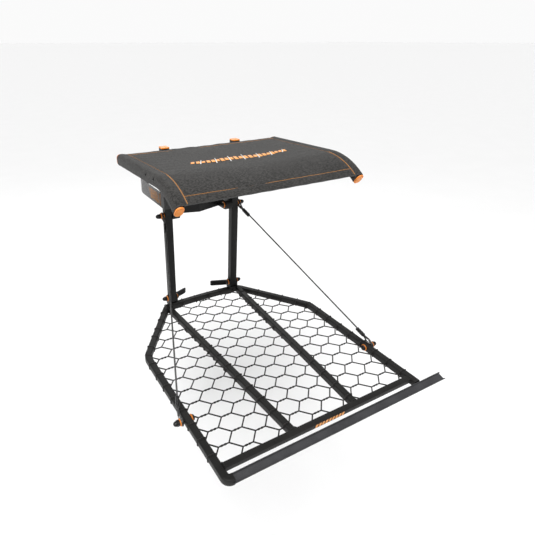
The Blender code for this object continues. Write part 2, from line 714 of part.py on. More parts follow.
def make_sling():
    """Woven sling: a sleeve round each rail and the sheet between them."""
    line = seat_line(SLING_REAR_INSET, SLING_FRONT_INSET)
    sling = sweep("seat_sling", at_x(line, 0.0), (1, 0, 0), sling_section(), "cloth")
    tools = []
    (y0, z0), (y1, z1) = SEAT_REAR, SEAT_KNEE
    long_line = [(y0 + 0.02, z0 - 0.02 * (z1 - z0) / (y0 - y1))] + seat_line()[1:]
    last, before = long_line[-1], long_line[-2]
    long_line.append((2 * last[0] - before[0], 2 * last[1] - before[1]))
    for sign in (-1, 1):
        tools.append(sweep("tunnel", at_x(long_line, sign * SEAT_X), (1, 0, 0),
                           stadium(SEAT_RAIL_W + 2 * GAP, SEAT_RAIL_H + 2 * GAP), "cloth"))
        for y, z in CROSS_YZ:
            tools.append(rod("notch", (sign * SEAT_X, y, z), (-sign, 0, 0), 0.0, 0.020, CROSS_R + GAP,
                             "cloth"))
    boolean(sling, "DIFFERENCE", tools)


def make_seat_frame():
    """Cross tubes, arms to the hinge pins, braces and the bar that stops against the posts."""
    reach = SEAT_X - SEAT_RAIL_W / 2 - GAP
    (rear_y, rear_z), (front_y, front_z) = CROSS_YZ
    frame = rod("seat_frame", (0, rear_y, rear_z), (1, 0, 0), -reach, reach, CROSS_R, "powder_coat")
    parts = [rod("front", (0, front_y, front_z), (1, 0, 0), -reach, reach, CROSS_R, "powder_coat")]
    stop_y = -TUBE_R - GAP - TUBE_R
    parts.append(box("stop", (-0.137, stop_y - TUBE_R, STOP_Z - TUBE_R),
                     (0.137, stop_y + TUBE_R, STOP_Z + TUBE_R),
                     "powder_coat"))
    brace_top = Vector((0, -0.165, SEAT_PIN_Z))
    brace_low = Vector((0, stop_y, STOP_Z))
    for sign in (-1, 1):
        x = sign * ARM_X
        half = ARM / 2
        nose = [(half * sin(t), SEAT_PIN_Z + half * cos(t)) for t in [pi * k / 6 for k in range(7)]]
        arm = [(front_y, SEAT_PIN_Z - half), (front_y, SEAT_PIN_Z + half)] + nose
        parts.append(plate("arm", arm, x - half, x + half, "powder_coat", "yz"))
        ends = [brace_low + Vector((x, 0, 0)), brace_top + Vector((x, 0, 0))]
        parts.append(sweep("brace", ends, (1, 0, 0), rectangle(0.016, 0.016), "powder_coat"))
    boolean(frame, "UNION", parts)
    holes = [rod("hole", (sign * ARM_X, 0, SEAT_PIN_Z), (1, 0, 0), -0.03, 0.03, BOLT_R + GAP, "powder_coat")
             for sign in (-1, 1)]
    boolean(frame, "DIFFERENCE", holes)


def make_seat_pin(side, sign):
    """Shoulder pin through the post and the seat arm."""
    start = ARM_X - ARM / 2 - GAP
    end = POST_X + TUBE_R + GAP
    profile = [(-0.0045, 0), (-0.0045, 0.0075), (0, 0.0075), (0, BOLT_R), (end - start, BOLT_R),
               (end - start, 0.0085), (end - start + 0.0045, 0.0065), (end - start + 0.0045, 0)]
    revolve(f"seat_pin_{side}", profile, (sign * start, 0, SEAT_PIN_Z), (sign, 0, 0), "black_steel")


# ---------------------------------------------------------------- tree strap
def strap_line():
    """Plan of the webbing: hooked round one post, back round the trunk, hooked round the other post."""
    clear = TUBE_R + 2 * GAP + STRAP_T / 2
    outer, inner, front = POST_X + clear, POST_X - clear, -clear
    start = [(-inner, 0.010), (-inner, front), (-outer, front), (-outer, 0.030)]
    hook = fillet(start, [0.0024, 0.0024], radians(30))[:-1]
    half_turn = [(-outer * cos(t), TRUNK_Y + outer * sin(t)) for t in [pi * k / 24 for k in range(25)]]
    run = [(-outer, 0.030), (-outer, 0.090)]
    mirrored = [(-a, b) for a, b in reversed(hook + run)]
    return hook + run + half_turn + mirrored


def make_strap():
    path = [(a, b, (STRAP_LOW + STRAP_HIGH) / 2) for a, b in strap_line()]
    sweep("tree_strap", path, (0, 0, 1), rectangle(STRAP_HIGH - STRAP_LOW, STRAP_T), "webbing")


RATCHET_Y = 0.128
RATCHET_X = POST_X + TUBE_R + GAP + STRAP_T + 0.0175


def make_ratchet():
    """Buckle frame with its spool on the strap's right run, and the handle folded against it."""
    face = POST_X + TUBE_R + GAP + STRAP_T + 0.0012
    frame = box("ratchet_frame", (face, 0.050, STRAP_LOW - 0.001), (face + 0.002, 0.145, STRAP_HIGH + 0.001),
                "black_steel")
    outline = [(face, 0.050), (face + 0.010, 0.055), (RATCHET_X + 0.013, RATCHET_Y - 0.012),
               (RATCHET_X + 0.013, RATCHET_Y + 0.012), (face + 0.012, 0.145), (face, 0.145)]
    parts = [plate("low", outline, STRAP_LOW - 0.0035, STRAP_LOW - 0.0005, "black_steel"),
             plate("high", outline, STRAP_HIGH + 0.0005, STRAP_HIGH + 0.0035, "black_steel"),
             rod("spool", (RATCHET_X, RATCHET_Y, 0), (0, 0, 1), STRAP_LOW - 0.009, STRAP_HIGH + 0.009, 0.008,
                 "black_steel")]
    boolean(frame, "UNION", parts)
    make_ratchet_handle()


def make_ratchet_handle():
    """Two arms outside the frame's cheeks and the bar that joins them."""
    arm = [(RATCHET_X - 0.011, RATCHET_Y + 0.011), (RATCHET_X - 0.011, RATCHET_Y - 0.075),
           (RATCHET_X - 0.006, RATCHET_Y - 0.090), (RATCHET_X + 0.008, RATCHET_Y - 0.090),
           (RATCHET_X + 0.013, RATCHET_Y - 0.020), (RATCHET_X + 0.011, RATCHET_Y + 0.011)]
    low, high = STRAP_LOW - 0.0070, STRAP_HIGH + 0.0045
    handle = plate("ratchet_handle", arm, low, low + 0.0025, "black_steel")
    parts = [plate("upper", arm, high, high + 0.0025, "black_steel"),
             box("grip", (RATCHET_X - 0.005, RATCHET_Y - 0.089, low + 0.001),
                 (RATCHET_X + 0.007, RATCHET_Y - 0.079, high + 0.001), "black_steel")]
    boolean(handle, "UNION", parts)
    bore = rod("bore", (RATCHET_X, RATCHET_Y, 0), (0, 0, 1), 0.30, 0.42, 0.008 + 2 * GAP, "black_steel")
    boolean(handle, "DIFFERENCE", [bore])


# ---------------------------------------------------------------- assembly
def make_fasteners(side, sign):
    post_in, post_out = POST_X - TUBE_R, POST_X + TUBE_R
    arm_in = post_in - GAP - TUBE
    first = post_out + GAP
    stack_fasteners("top", side, sign, 0, TOP_BOLT_Z, arm_in - 2 * GAP - WASHER_T - GAP,
                    arm_in - GAP - WASHER_T, [first, first + WASHER_T + GAP + EYE_GAP])
    ear_in = post_in - GAP - 0.004
    stack_fasteners("base", side, sign, 0, 0, ear_in - 2 * GAP - WASHER_T - GAP, ear_in - GAP - WASHER_T,
                    [post_out + GAP + 0.004 + GAP])
    rail_in, rail_out = CORNER[0] - RAIL_R, CORNER[0] + RAIL_R
    stack_fasteners("rail", side, sign, CABLE_BOLT_Y, CABLE_BOLT_Z, rail_in - 2 * GAP - WASHER_T - GAP,
                    rail_in - GAP - WASHER_T, [rail_out + GAP + WASHER_T + GAP + EYE_GAP])


def build():
    clear_scene()
    make_materials()
    for side, sign in (("left", -1), ("right", 1)):
        make_post(side, sign)
        make_post_cap(side, sign)
        make_lower_claw(side, sign)
        make_fasteners(side, sign)
        make_inner_bar(side, sign)
        make_hinge_bracket(side, sign)
        make_cable(side, sign)
        make_swage_sleeves(side, sign)
        make_seat_rail(side, sign)
        make_rail_caps(side, sign)
        make_seat_pin(side, sign)
    make_upper_bracket()
    make_platform_frame()
    make_front_bar()
    make_footrest()
    for label, (corners, radii, bends) in panel_corners().items():
        make_mesh_panel(label, corners, radii, bends)
    make_seat_frame()
    make_sling()
    make_strap()
    make_ratchet()


build()
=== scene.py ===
"""Looks of the hang-on tree stand: tubes, netting, sling seat, cables, strap, ratchet and fasteners."""
import random
from math import atan2, ceil, cos, hypot, pi, radians, sin, tan

import bmesh
import bpy
from mathutils import Matrix, Vector


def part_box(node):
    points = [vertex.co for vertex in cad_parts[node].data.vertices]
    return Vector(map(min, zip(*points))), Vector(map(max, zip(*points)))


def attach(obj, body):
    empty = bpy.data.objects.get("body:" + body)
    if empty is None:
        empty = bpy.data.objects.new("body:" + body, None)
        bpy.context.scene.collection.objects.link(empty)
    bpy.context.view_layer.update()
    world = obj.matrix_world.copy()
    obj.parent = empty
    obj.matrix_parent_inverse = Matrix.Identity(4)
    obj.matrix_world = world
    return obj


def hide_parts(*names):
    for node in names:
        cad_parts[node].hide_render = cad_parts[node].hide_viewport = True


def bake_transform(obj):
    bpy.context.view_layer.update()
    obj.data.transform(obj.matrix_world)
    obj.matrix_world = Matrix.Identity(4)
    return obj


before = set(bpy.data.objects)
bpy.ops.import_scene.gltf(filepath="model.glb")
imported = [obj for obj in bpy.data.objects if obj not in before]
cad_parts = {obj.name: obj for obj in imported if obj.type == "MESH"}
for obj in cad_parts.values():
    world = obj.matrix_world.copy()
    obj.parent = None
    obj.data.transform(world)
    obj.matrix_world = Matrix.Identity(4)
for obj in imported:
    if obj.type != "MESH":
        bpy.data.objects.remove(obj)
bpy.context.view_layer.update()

# ---------------------------------------------------------------- sizes, worked out from the frame
SIDES = {"left": -1, "right": 1}


def span(node):
    low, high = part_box(node)
    return low, high, (low + high) / 2


GAP = 0.0003
POST_LOW, POST_HIGH, POST_MID = span("post_right")
POST_X = POST_MID.x
TUBE = POST_HIGH.x - POST_LOW.x
TUBE_R = TUBE / 2
FRAME_LOW, _, FRAME_MID = span("platform_frame")
FRAME_Z = FRAME_MID.z
RAIL = 0.0200
RAIL_R = RAIL / 2
CORNER_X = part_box("platform_frame")[1].x - RAIL_R
CORNER_Y = -0.237
BEND_X = 0.146
REAR_ARCH = 0.005
RAIL_END_LEFT = FRAME_LOW.y
RAIL_END_RIGHT = -0.7065
BAR_LOW, BAR_HIGH, BAR_MID = span("front_bar")
BAR_REAR = BAR_HIGH.y
CORNER_R = 0.0035
SQUARENESS = 8
TURNED_END = 0.016
INNER_REAR_X = 0.1455
INNER_FRONT_X = 0.1005
TOP_BOLT = span("top_bolt_right")[2]
RAIL_BOLT = span("rail_bolt_right")[2]
SEAT_PIN = span("seat_pin_right")[2]

HEX_PITCH_X = 0.0525
HEX_PITCH_Y = 0.0527
HEX_FLAT = 0.029
HEX_ORIGIN = (-0.006, -0.3917)
WIRE_R = 0.0019
BAND_SINK = 0.35
TWIST_TURNS = 1.5
WRAP_SPACING = 0.040
WRAP_SKEW = 0.0028

FOOT_LOW, FOOT_HIGH, _ = span("footrest")
FOOT_WIDTH = 0.0235
FOOT_LIP = 0.0068
FOOT_SHEET = 0.0022
FOOT_TILT = radians(18)
FOOT_Y = -0.7185

CABLE_R = 0.0024
EYE_GAP = 0.0062
EYE_R = 0.0098
EYE_TO_SLEEVE = 0.033
SLEEVE_LENGTH = 0.034
WASHER_T = 0.0027
CABLE_LEAN = 0.003            # how far the eyes' necks stand out from their bolts
EYE_NECK = (0.0175, 0.0072)   # along and across the cable, where an eye closes
SLEEVE_WALL = 0.0044

BOLT_R = 0.0048
THREAD_R = 0.0043
THREAD_PITCH = 0.00125
THREAD_TURNS = 14
NUT_R = 0.0085
NUT_H = 0.008
DOME_R = 0.0072
POST_CAP_W = 0.0260

SEAT_X = span("seat_rail_right")[2].x
SEAT_REAR = (-0.0185, 0.5132)
SEAT_KNEE = (-0.300, 0.5235)
SEAT_BEND_R = 0.183
SEAT_DROP = radians(38)
RAIL_W = 0.020
RAIL_H = 0.030
SLING_REAR_INSET = 0.004
SLING_FRONT_INSET = 0.003
CLOTH = 0.0016
SEAM_X = 0.250
SAG = 0.0045
SHEET_DROP = 0.0021           # sheet's mid-thickness below the sleeves' top, at the seams
STITCH_PITCH = 0.0042
STITCH_SHARE = 0.72           # part of the pitch that shows as thread

STRAP_LOW, STRAP_HIGH, STRAP_MID = span("tree_strap")
STRAP_T = 0.0024
TRUNK_Y = 0.170
HOOK_END_Y = 0.030
RATCHET_X, RATCHET_Y = 0.1579, 0.128
RATCHET_TEETH = 13
SPOOL_R = 0.0086

CAMERA_AT = (-0.6396, -1.2688, 0.8226)
CAMERA_TURN = (radians(62.59), 0, radians(-28.78))
CAMERA_LENS = 29.69
CAMERA_SENSOR = 36
CAMERA_SHIFT = (0.0952, 0.0009)
FLOOR_Z = -0.55


# ---------------------------------------------------------------- node helpers
class Graph:
    """Short way to build one material's nodes."""

    def __init__(self, name, colour, roughness, metallic=0.0, **sockets):
        self.material = bpy.data.materials.new(name)
        self.material.use_nodes = True
        self.tree = self.material.node_tree
        self.shader = self.tree.nodes["Principled BSDF"]
        self.shader.inputs["Base Color"].default_value = (*colour, 1)
        self.shader.inputs["Roughness"].default_value = roughness
        self.shader.inputs["Metallic"].default_value = metallic
        for socket, value in sockets.items():
            self.shader.inputs[socket.replace("_", " ")].default_value = value
        self.place = self.add("ShaderNodeTexCoord").outputs["Object"]

    def add(self, kind, values=(), **settings):
        node = self.tree.nodes.new(kind)
        for key, value in settings.items():
            setattr(node, key, value)
        for key, value in dict(values).items():
            node.inputs[key].default_value = value
        return node

    def link(self, out, into):
        self.tree.links.new(out, into)

    def stretched(self, turn=(0, 0, 0), scale=(1, 1, 1)):
        node = self.add("ShaderNodeMapping", {"Rotation": turn, "Scale": scale})
        self.link(self.place, node.inputs["Vector"])
        return node.outputs["Vector"]

    def noise(self, scale, detail=3.0, place=None):
        node = self.add("ShaderNodeTexNoise", {"Scale": scale, "Detail": detail, "Roughness": 0.6})
        self.link(place or self.place, node.inputs["Vector"])
        return node.outputs["Fac"]

    def wave(self, scale, place, distortion=0.0, direction="X"):
        node = self.add("ShaderNodeTexWave", {"Scale": scale, "Distortion": distortion, "Detail": 1.0},
                        bands_direction=direction)
        self.link(place, node.inputs["Vector"])
        return node.outputs["Fac"]

    def mix(self, factor, a, b):
        """Colours a and b mixed by a factor output."""
        node = self.add("ShaderNodeMix", data_type="RGBA")
        self.link(factor, node.inputs[0])
        for socket, value in ((6, a), (7, b)):
            if isinstance(value, tuple):
                node.inputs[socket].default_value = (*value, 1)
            else:
                self.link(value, node.inputs[socket])
        return node.outputs[2]

    def spread(self, factor, low, high, out_low=0.0, out_high=1.0):
        node = self.add("ShaderNodeMapRange", {"From Min": low, "From Max": high, "To Min": out_low,
                                               "To Max": out_high})
        self.link(factor, node.inputs["Value"])
        return node.outputs["Result"]

    def math(self, operation, a, b):
        node = self.add("ShaderNodeMath", operation=operation)
        for socket, value in enumerate((a, b)):
            if isinstance(value, float):
                node.inputs[socket].default_value = value
            else:
                self.link(value, node.inputs[socket])
        return node.outputs[0]

    def colour(self, out):
        self.link(out, self.shader.inputs["Base Color"])

    def rough(self, out):
        self.link(out, self.shader.inputs["Roughness"])

    def bump(self, height, distance, strength=1.0):
        node = self.add("ShaderNodeBump", {"Strength": strength, "Distance": distance})
        self.link(height, node.inputs["Height"])
        old = self.shader.inputs["Normal"]
        if old.is_linked:
            self.link(old.links[0].from_socket, node.inputs["Normal"])
        self.link(node.outputs["Normal"], old)


def coated_metal(name, dark, light, roughness, grain):
    """Fine-textured powder coat: pebbled surface, faint cloudy tone and lighter specks on the pebbles."""
    g = Graph(name, dark, roughness, Specular_IOR_Level=0.22)
    pebbles = g.noise(grain, 2.0)
    clouds = g.noise(22.0, 4.0)
    tone = g.math("ADD", g.spread(pebbles, 0.35, 0.75, 0.0, 0.55), g.spread(clouds, 0.35, 0.7, 0.0, 0.45))
    g.colour(g.mix(tone, dark, light))
    g.rough(g.spread(clouds, 0.3, 0.7, roughness - 0.06, roughness + 0.08))
    g.bump(pebbles, 0.00025, 0.7)
    return g.material


def twill():
    """Coated polyester twill: diagonal ribs, crossing threads and a dusty, slightly worn tone."""
    g = Graph("cloth_twill", (0.040, 0.038, 0.036), 0.88, Sheen_Weight=0.08, Sheen_Roughness=0.5,
              Specular_IOR_Level=0.25)
    ribs = g.wave(100.0, g.stretched((0, 0, radians(58))), 0.5)
    cross = g.wave(140.0, g.stretched((0, 0, radians(-24))), 0.4)
    fuzz = g.noise(900.0, 2.0)
    flecks = g.noise(185.0, 1.0, g.stretched((0, 0, radians(58)), (1, 2.2, 1)))
    clouds = g.noise(9.0, 4.0)
    thread = g.math("ADD", g.math("MULTIPLY", ribs, 0.6), g.math("MULTIPLY", cross, 0.4))
    tone = g.math("ADD", g.spread(flecks, 0.38, 0.62, 0.0, 0.8), g.spread(clouds, 0.3, 0.7, 0.0, 0.2))
    base = g.mix(tone, (0.005, 0.0048, 0.0046), (0.052, 0.050, 0.0475))
    g.colour(g.mix(g.math("MULTIPLY", thread, 0.35), base, (0.050, 0.048, 0.0455)))
    g.bump(thread, 0.00035, 0.8)
    g.bump(fuzz, 0.00015, 0.5)
    return g.material


def piping_cloth():
    g = Graph("cloth_binding", (0.022, 0.022, 0.021), 0.7, Sheen_Weight=0.2)
    ribs = g.wave(420.0, g.stretched((0, 0, 0)), 0.2, "Y")
    g.colour(g.mix(ribs, (0.016, 0.016, 0.015), (0.034, 0.033, 0.032)))
    g.bump(ribs, 0.0003, 0.7)
    return g.material


def nylon():
    """Moulded orange nylon with a faint matt skin."""
    g = Graph("orange_nylon", (0.80, 0.25, 0.035), 0.38, Subsurface_Weight=0.08, Subsurface_Scale=0.002)
    skin = g.noise(1400.0, 2.0)
    clouds = g.noise(60.0, 3.0)
    g.colour(g.mix(clouds, (0.70, 0.20, 0.020), (0.86, 0.29, 0.045)))
    g.rough(g.spread(skin, 0.3, 0.7, 0.32, 0.48))
    g.bump(skin, 0.0001, 0.4)
    return g.material


def black_steel():
    """Black oxide with brighter rubbed spots."""
    g = Graph("black_oxide", (0.02, 0.02, 0.02), 0.36, 0.75)
    rub = g.noise(160.0, 4.0)
    fine = g.noise(1800.0, 2.0)
    g.colour(g.mix(g.spread(rub, 0.5, 0.8), (0.016, 0.016, 0.016), (0.085, 0.083, 0.08)))
    g.rough(g.spread(rub, 0.3, 0.7, 0.28, 0.5))
    g.bump(fine, 0.0001, 0.4)
    return g.material


def jacket():
    """Vinyl jacket in which the wire rope's lay just shows."""
    g = Graph("cable_vinyl", (0.012, 0.012, 0.012), 0.36, Coat_Weight=0.25, Coat_Roughness=0.25)
    lay = g.wave(170.0, g.stretched((0.4, 0.2, 0.6)), 0.0)
    dust = g.noise(120.0, 4.0)
    g.colour(g.mix(g.spread(dust, 0.4, 0.8), (0.010, 0.010, 0.010), (0.035, 0.034, 0.033)))
    g.bump(lay, 0.0003, 0.4)
    return g.material


def webbing():
    """Woven polyester webbing: ribs along its length, a herringbone weave across it."""
    g = Graph("strap_webbing", (0.03, 0.03, 0.03), 0.8, Sheen_Weight=0.3)
    ribs = g.wave(150.0, g.stretched(), 0.0, "Z")
    weave = g.wave(330.0, g.stretched((radians(45), 0, radians(20))), 0.6, "DIAGONAL")
    fuzz = g.noise(1200.0, 2.0)
    thread = g.math("ADD", g.math("MULTIPLY", ribs, 0.5), g.math("MULTIPLY", weave, 0.5))
    g.colour(g.mix(thread, (0.014, 0.014, 0.014), (0.055, 0.053, 0.052)))
    g.bump(thread, 0.0005, 0.8)
    g.bump(fuzz, 0.00015, 0.5)
    return g.material


def thread_or_ink(name, low, high, roughness):
    g = Graph(name, high, roughness)
    g.colour(g.mix(g.noise(700.0, 3.0), low, high))
    g.bump(g.noise(1500.0, 2.0), 0.0001, 0.4)
    return g.material


def dull_zinc():
    g = Graph("grey_zinc", (0.30, 0.30, 0.30), 0.42, 0.9)
    cloud = g.noise(90.0, 4.0)
    g.colour(g.mix(cloud, (0.20, 0.20, 0.20), (0.42, 0.42, 0.41)))
    g.rough(g.spread(cloud, 0.3, 0.7, 0.3, 0.55))
    g.bump(g.noise(1300.0, 2.0), 0.0001, 0.4)
    return g.material


MAT = {
    "post": coated_metal("post_powder_coat", (0.0040, 0.0040, 0.0040), (0.0120, 0.0118, 0.0115),
                         0.40, 1500.0),
    "frame": coated_metal("frame_powder_coat", (0.0065, 0.0063, 0.0060), (0.018, 0.0172, 0.0163),
                          0.46, 1500.0),
    "channel": coated_metal("channel_powder_coat", (0.030, 0.030, 0.0325), (0.068, 0.068, 0.072),
                            0.55, 900.0),
    "wire": coated_metal("wire_coat", (0.010, 0.0093, 0.0088), (0.026, 0.024, 0.0225), 0.42, 1800.0),
    "weld": coated_metal("weld_coat", (0.008, 0.008, 0.008), (0.019, 0.019, 0.0185), 0.40, 600.0),
    "cloth": twill(),
    "binding": piping_cloth(),
    "orange": nylon(),
    "steel": black_steel(),
    "jacket": jacket(),
    "webbing": webbing(),
    "zinc": dull_zinc(),
    "thread": thread_or_ink("orange_thread", (0.30, 0.12, 0.03), (0.62, 0.29, 0.08), 0.7),
    "ink_orange": thread_or_ink("orange_print", (0.78, 0.30, 0.07), (0.90, 0.42, 0.14), 0.65),
    "ink_white": thread_or_ink("white_print", (0.62, 0.61, 0.59), (0.80, 0.79, 0.76), 0.65),
}


# ---------------------------------------------------------------- mesh helpers
def place(name, bm, look, body, stands_for=(), angle=35, bevel=0.0):
    """Turn a bmesh into a finished piece that rides on a body and stands for the named CAD nodes."""
    bmesh.ops.recalc_face_normals(bm, faces=bm.faces)
    mesh = bpy.data.meshes.new(name)
    bm.to_mesh(mesh)
    bm.free()
    mesh.materials.append(MAT[look])
    mesh.shade_smooth()
    mesh.set_sharp_from_angle(angle=radians(angle))
    piece = bpy.data.objects.new(name, mesh)
    bpy.context.scene.collection.objects.link(piece)
    if bevel:
        step = piece.modifiers.new("edges", "BEVEL")
        step.width = bevel
        step.segments = 2
        step.limit_method = "ANGLE"
        step.angle_limit = radians(30)
        step.harden_normals = True
    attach(piece, body)
    if stands_for:
        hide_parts(*stands_for)
    return piece


def rounded_box(width, height, radius, steps=3):
    """Rectangle outline with its corners rounded."""
    outline = []
    for a, b, start in ((1, 1, 0), (-1, 1, 90), (-1, -1, 180), (1, -1, 270)):
        for k in range(steps + 1):
            turn = radians(start + 90 * k / steps)
            outline.append((a * (width / 2 - radius) + radius * cos(turn),
                            b * (height / 2 - radius) + radius * sin(turn)))
    return outline


def stadium(width, height, steps=10):
    """Oval outline: two half circles joined by straight sides."""
    radius = width / 2
    rise = height / 2 - radius
    top = [(radius * cos(pi * k / steps), rise + radius * sin(pi * k / steps)) for k in range(steps + 1)]
    return top + [(-x, -z) for x, z in top]


def add_sweep(bm, path, side, section, inner=None, scales=None):
    """Carry a closed section along a path, with optional scale at each point and hollow inside."""
    side = Vector(side).normalized()
    points = [Vector(p) for p in path]
    outer_rings, inner_rings = [], []
    for k, point in enumerate(points):
        before, after = points[max(k - 1, 0)], points[min(k + 1, len(points) - 1)]
        normal = (after - before).normalized().cross(side).normalized()
        scale = scales[k] if scales else 1.0
        outer_rings.append([bm.verts.new(point + (side * x + normal * y) * scale) for x, y in section])
        if inner:
            inner_rings.append([bm.verts.new(point + side * x + normal * y) for x, y in inner])
    for loops in (outer_rings, inner_rings):
        for a, b in zip(loops, loops[1:]):
            join_rings(bm, a, b)
    for end in (0, -1):
        if inner:
            join_rings(bm, outer_rings[end], inner_rings[end])
        else:
            bm.faces.new(outer_rings[end])


def join_rings(bm, a, b):
    for i in range(len(a)):
        j = (i + 1) % len(a)
        bm.faces.new((a[i], a[j], b[j], b[i]))


def add_tube(bm, points, radius, sides=8):
    """Round wire through points, turned as little as possible; radius is a number or one for each point."""
    points = [Vector(p) for p in points]
    count = len(points)
    radii = radius if isinstance(radius, list) else [radius] * count
    rings = []
    across = None
    for k, point in enumerate(points):
        along = (points[min(k + 1, count - 1)] - points[max(k - 1, 0)]).normalized()
        across = along.orthogonal() if across is None else across - along * across.dot(along)
        across.normalize()
        over = along.cross(across)
        turns = [2 * pi * i / sides for i in range(sides)]
        rings.append([bm.verts.new(point + (across * cos(t) + over * sin(t)) * radii[k]) for t in turns])
    for a, b in zip(rings, rings[1:]):
        join_rings(bm, a, b)
    bm.faces.new(rings[0])
    bm.faces.new(rings[-1])


def add_lathe(bm, profile, centre, direction, sides=32, closed=False):
    """Turn (along, radius) points about an axis."""
    axis = Vector(direction).normalized()
    across = axis.orthogonal().normalized()
    over = axis.cross(across)
    rings = []
    for along, radius in profile:
        base = Vector(centre) + axis * along
        count = sides if radius else 1
        rings.append([bm.verts.new(base + (across * cos(2 * pi * k / sides)
                                           + over * sin(2 * pi * k / sides)) * radius) for k in range(count)])
    pairs = list(zip(rings, rings[1:]))
    if closed:
        pairs.append((rings[-1], rings[0]))
    for a, b in pairs:
        for i in range(sides):
            j = (i + 1) % sides
            corners = [a[i % len(a)], a[j % len(a)], b[j % len(b)], b[i % len(b)]]
            bm.faces.new(list(dict.fromkeys(corners)))


def add_plate(bm, outline, low, high, plane="xy"):
    """Flat outline in the XY or YZ plane, thick from low to high."""
    order = {"xy": lambda a, b, c: (a, b, c), "yz": lambda a, b, c: (c, a, b)}[plane]
    bottom = [bm.verts.new(order(a, b, low)) for a, b in outline]
    top = [bm.verts.new(order(a, b, high)) for a, b in outline]
    bm.faces.new(bottom)
    bm.faces.new(top)
    join_rings(bm, bottom, top)


def fillet(points, radii, turn_step=radians(4)):
    """2D polyline with each inner corner replaced by an arc."""
    result = [points[0]]
    for a, b, c, radius in zip(points, points[1:], points[2:], radii):
        a, b, c = Vector(a), Vector(b), Vector(c)
        into, out = (b - a).normalized(), (c - b).normalized()
        turn = atan2(into.cross(out), into.dot(out))
        start = b - into * radius * tan(abs(turn) / 2)
        middle = start + Vector((-into.y, into.x)) * (radius if turn > 0 else -radius)
        steps = max(2, ceil(abs(turn) / turn_step))
        for k in range(steps + 1):
            result.append(tuple(middle + Matrix.Rotation(turn * k / steps, 2) @ (start - middle)))
    result.append(points[-1])
    return result


def smooth_path(points, step):
    """Points about one step apart on a Catmull-Rom curve through the given points."""
    pts = [Vector(p) for p in points]
    pts = [pts[0] * 2 - pts[1]] + pts + [pts[-1] * 2 - pts[-2]]
    result = []
    for p0, p1, p2, p3 in zip(pts, pts[1:], pts[2:], pts[3:]):
        count = max(1, round((p2 - p1).length / step))
        for k in range(count):
            t = k / count
            result.append(0.5 * (2 * p1 + (p2 - p0) * t + (2 * p0 - 5 * p1 + 4 * p2 - p3) * t ** 2
                                 + (3 * p1 - p0 - 3 * p2 + p3) * t ** 3))
    return result + [pts[-2]]


def refined(node, look, body, bevel):
    """A CAD node's own shape with its flat faces made whole and its edges rounded."""
    bm = bmesh.new()
    bm.from_mesh(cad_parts[node].data)
    bmesh.ops.remove_doubles(bm, verts=bm.verts, dist=0.00001)
    bmesh.ops.dissolve_limit(bm, angle_limit=radians(1), verts=bm.verts, edges=bm.edges)
    place(f"{node}_skin", bm, look, body, [node], 30, bevel)


# ---------------------------------------------------------------- fasteners
def washer_piece(node, body, sign):
    """Nylon washer with rounded rims and a raised hub ring."""
    low, high, mid = span(node)
    thick = high.x - low.x
    outer = (high.z - low.z) / 2
    hub, rim, edge = 0.0078, outer, 0.0007
    profile = [(0.0002, 0.0052), (0, 0.0056), (0, hub), (thick / 2 - edge, hub + 0.0004),
               (thick / 2 - edge, rim - 0.0003), (thick / 2 - edge / 2, rim), (thick / 2 + edge / 2, rim),
               (thick / 2 + edge, rim - 0.0003), (thick / 2 + edge, hub + 0.0004), (thick, hub),
               (thick, 0.0056), (thick - 0.0002, 0.0052)]
    start = (low.x if sign > 0 else high.x, mid.y, mid.z)
    bm = bmesh.new()
    add_lathe(bm, profile, start, (sign, 0, 0), 40, closed=True)
    place(f"{node}_moulded", bm, "orange", body, [node], 40)


def nut_piece(name, body, stands_for, start_x, y, z, sign):
    """Hexagonal nut with chamfered corners under a dome."""
    bm = bmesh.new()
    centre = (sign * start_x, y, z)
    add_lathe(bm, [(0, 0), (0, 0.0078), (0.0008, NUT_R), (0.0072, NUT_R), (NUT_H, 0.0079), (NUT_H, 0)],
              centre, (sign, 0, 0), 6)
    dome = [(0.0075, 0), (0.0075, DOME_R)]
    dome += [(NUT_H + NUT_R * sin(pi / 2 * k / 9), DOME_R * cos(pi / 2 * k / 9)) for k in range(9)]
    add_lathe(bm, dome + [(0.0165, 0)], centre, (sign, 0, 0), 32)
    place(name, bm, "steel", body, stands_for, 28)


def bolt_piece(name, body, stands_for, head_x, tip_x, y, z, sign):
    """Button-head bolt with a round drive recess and a threaded end."""
    bm = bmesh.new()
    length = tip_x - head_x
    head = [(-0.0035, 0), (-0.0035, 0.0030), (-0.0054, 0.0034)]
    head += [(-0.0055 * cos(t), 0.0034 + 0.0054 * sin(t)) for t in [pi / 2 * k / 8 for k in range(1, 9)]]
    turns = min(int((length - 0.012) / THREAD_PITCH), THREAD_TURNS)
    start = length - THREAD_PITCH * turns
    shank = [(0, BOLT_R), (start, BOLT_R)]
    for k in range(turns):
        shank += [(start + THREAD_PITCH * (k + 0.5), THREAD_R), (start + THREAD_PITCH * (k + 1), BOLT_R)]
    add_lathe(bm, head + shank + [(length, 0)], (sign * head_x, y, z), (sign, 0, 0), 30)
    place(name, bm, "steel", body, stands_for, 35)


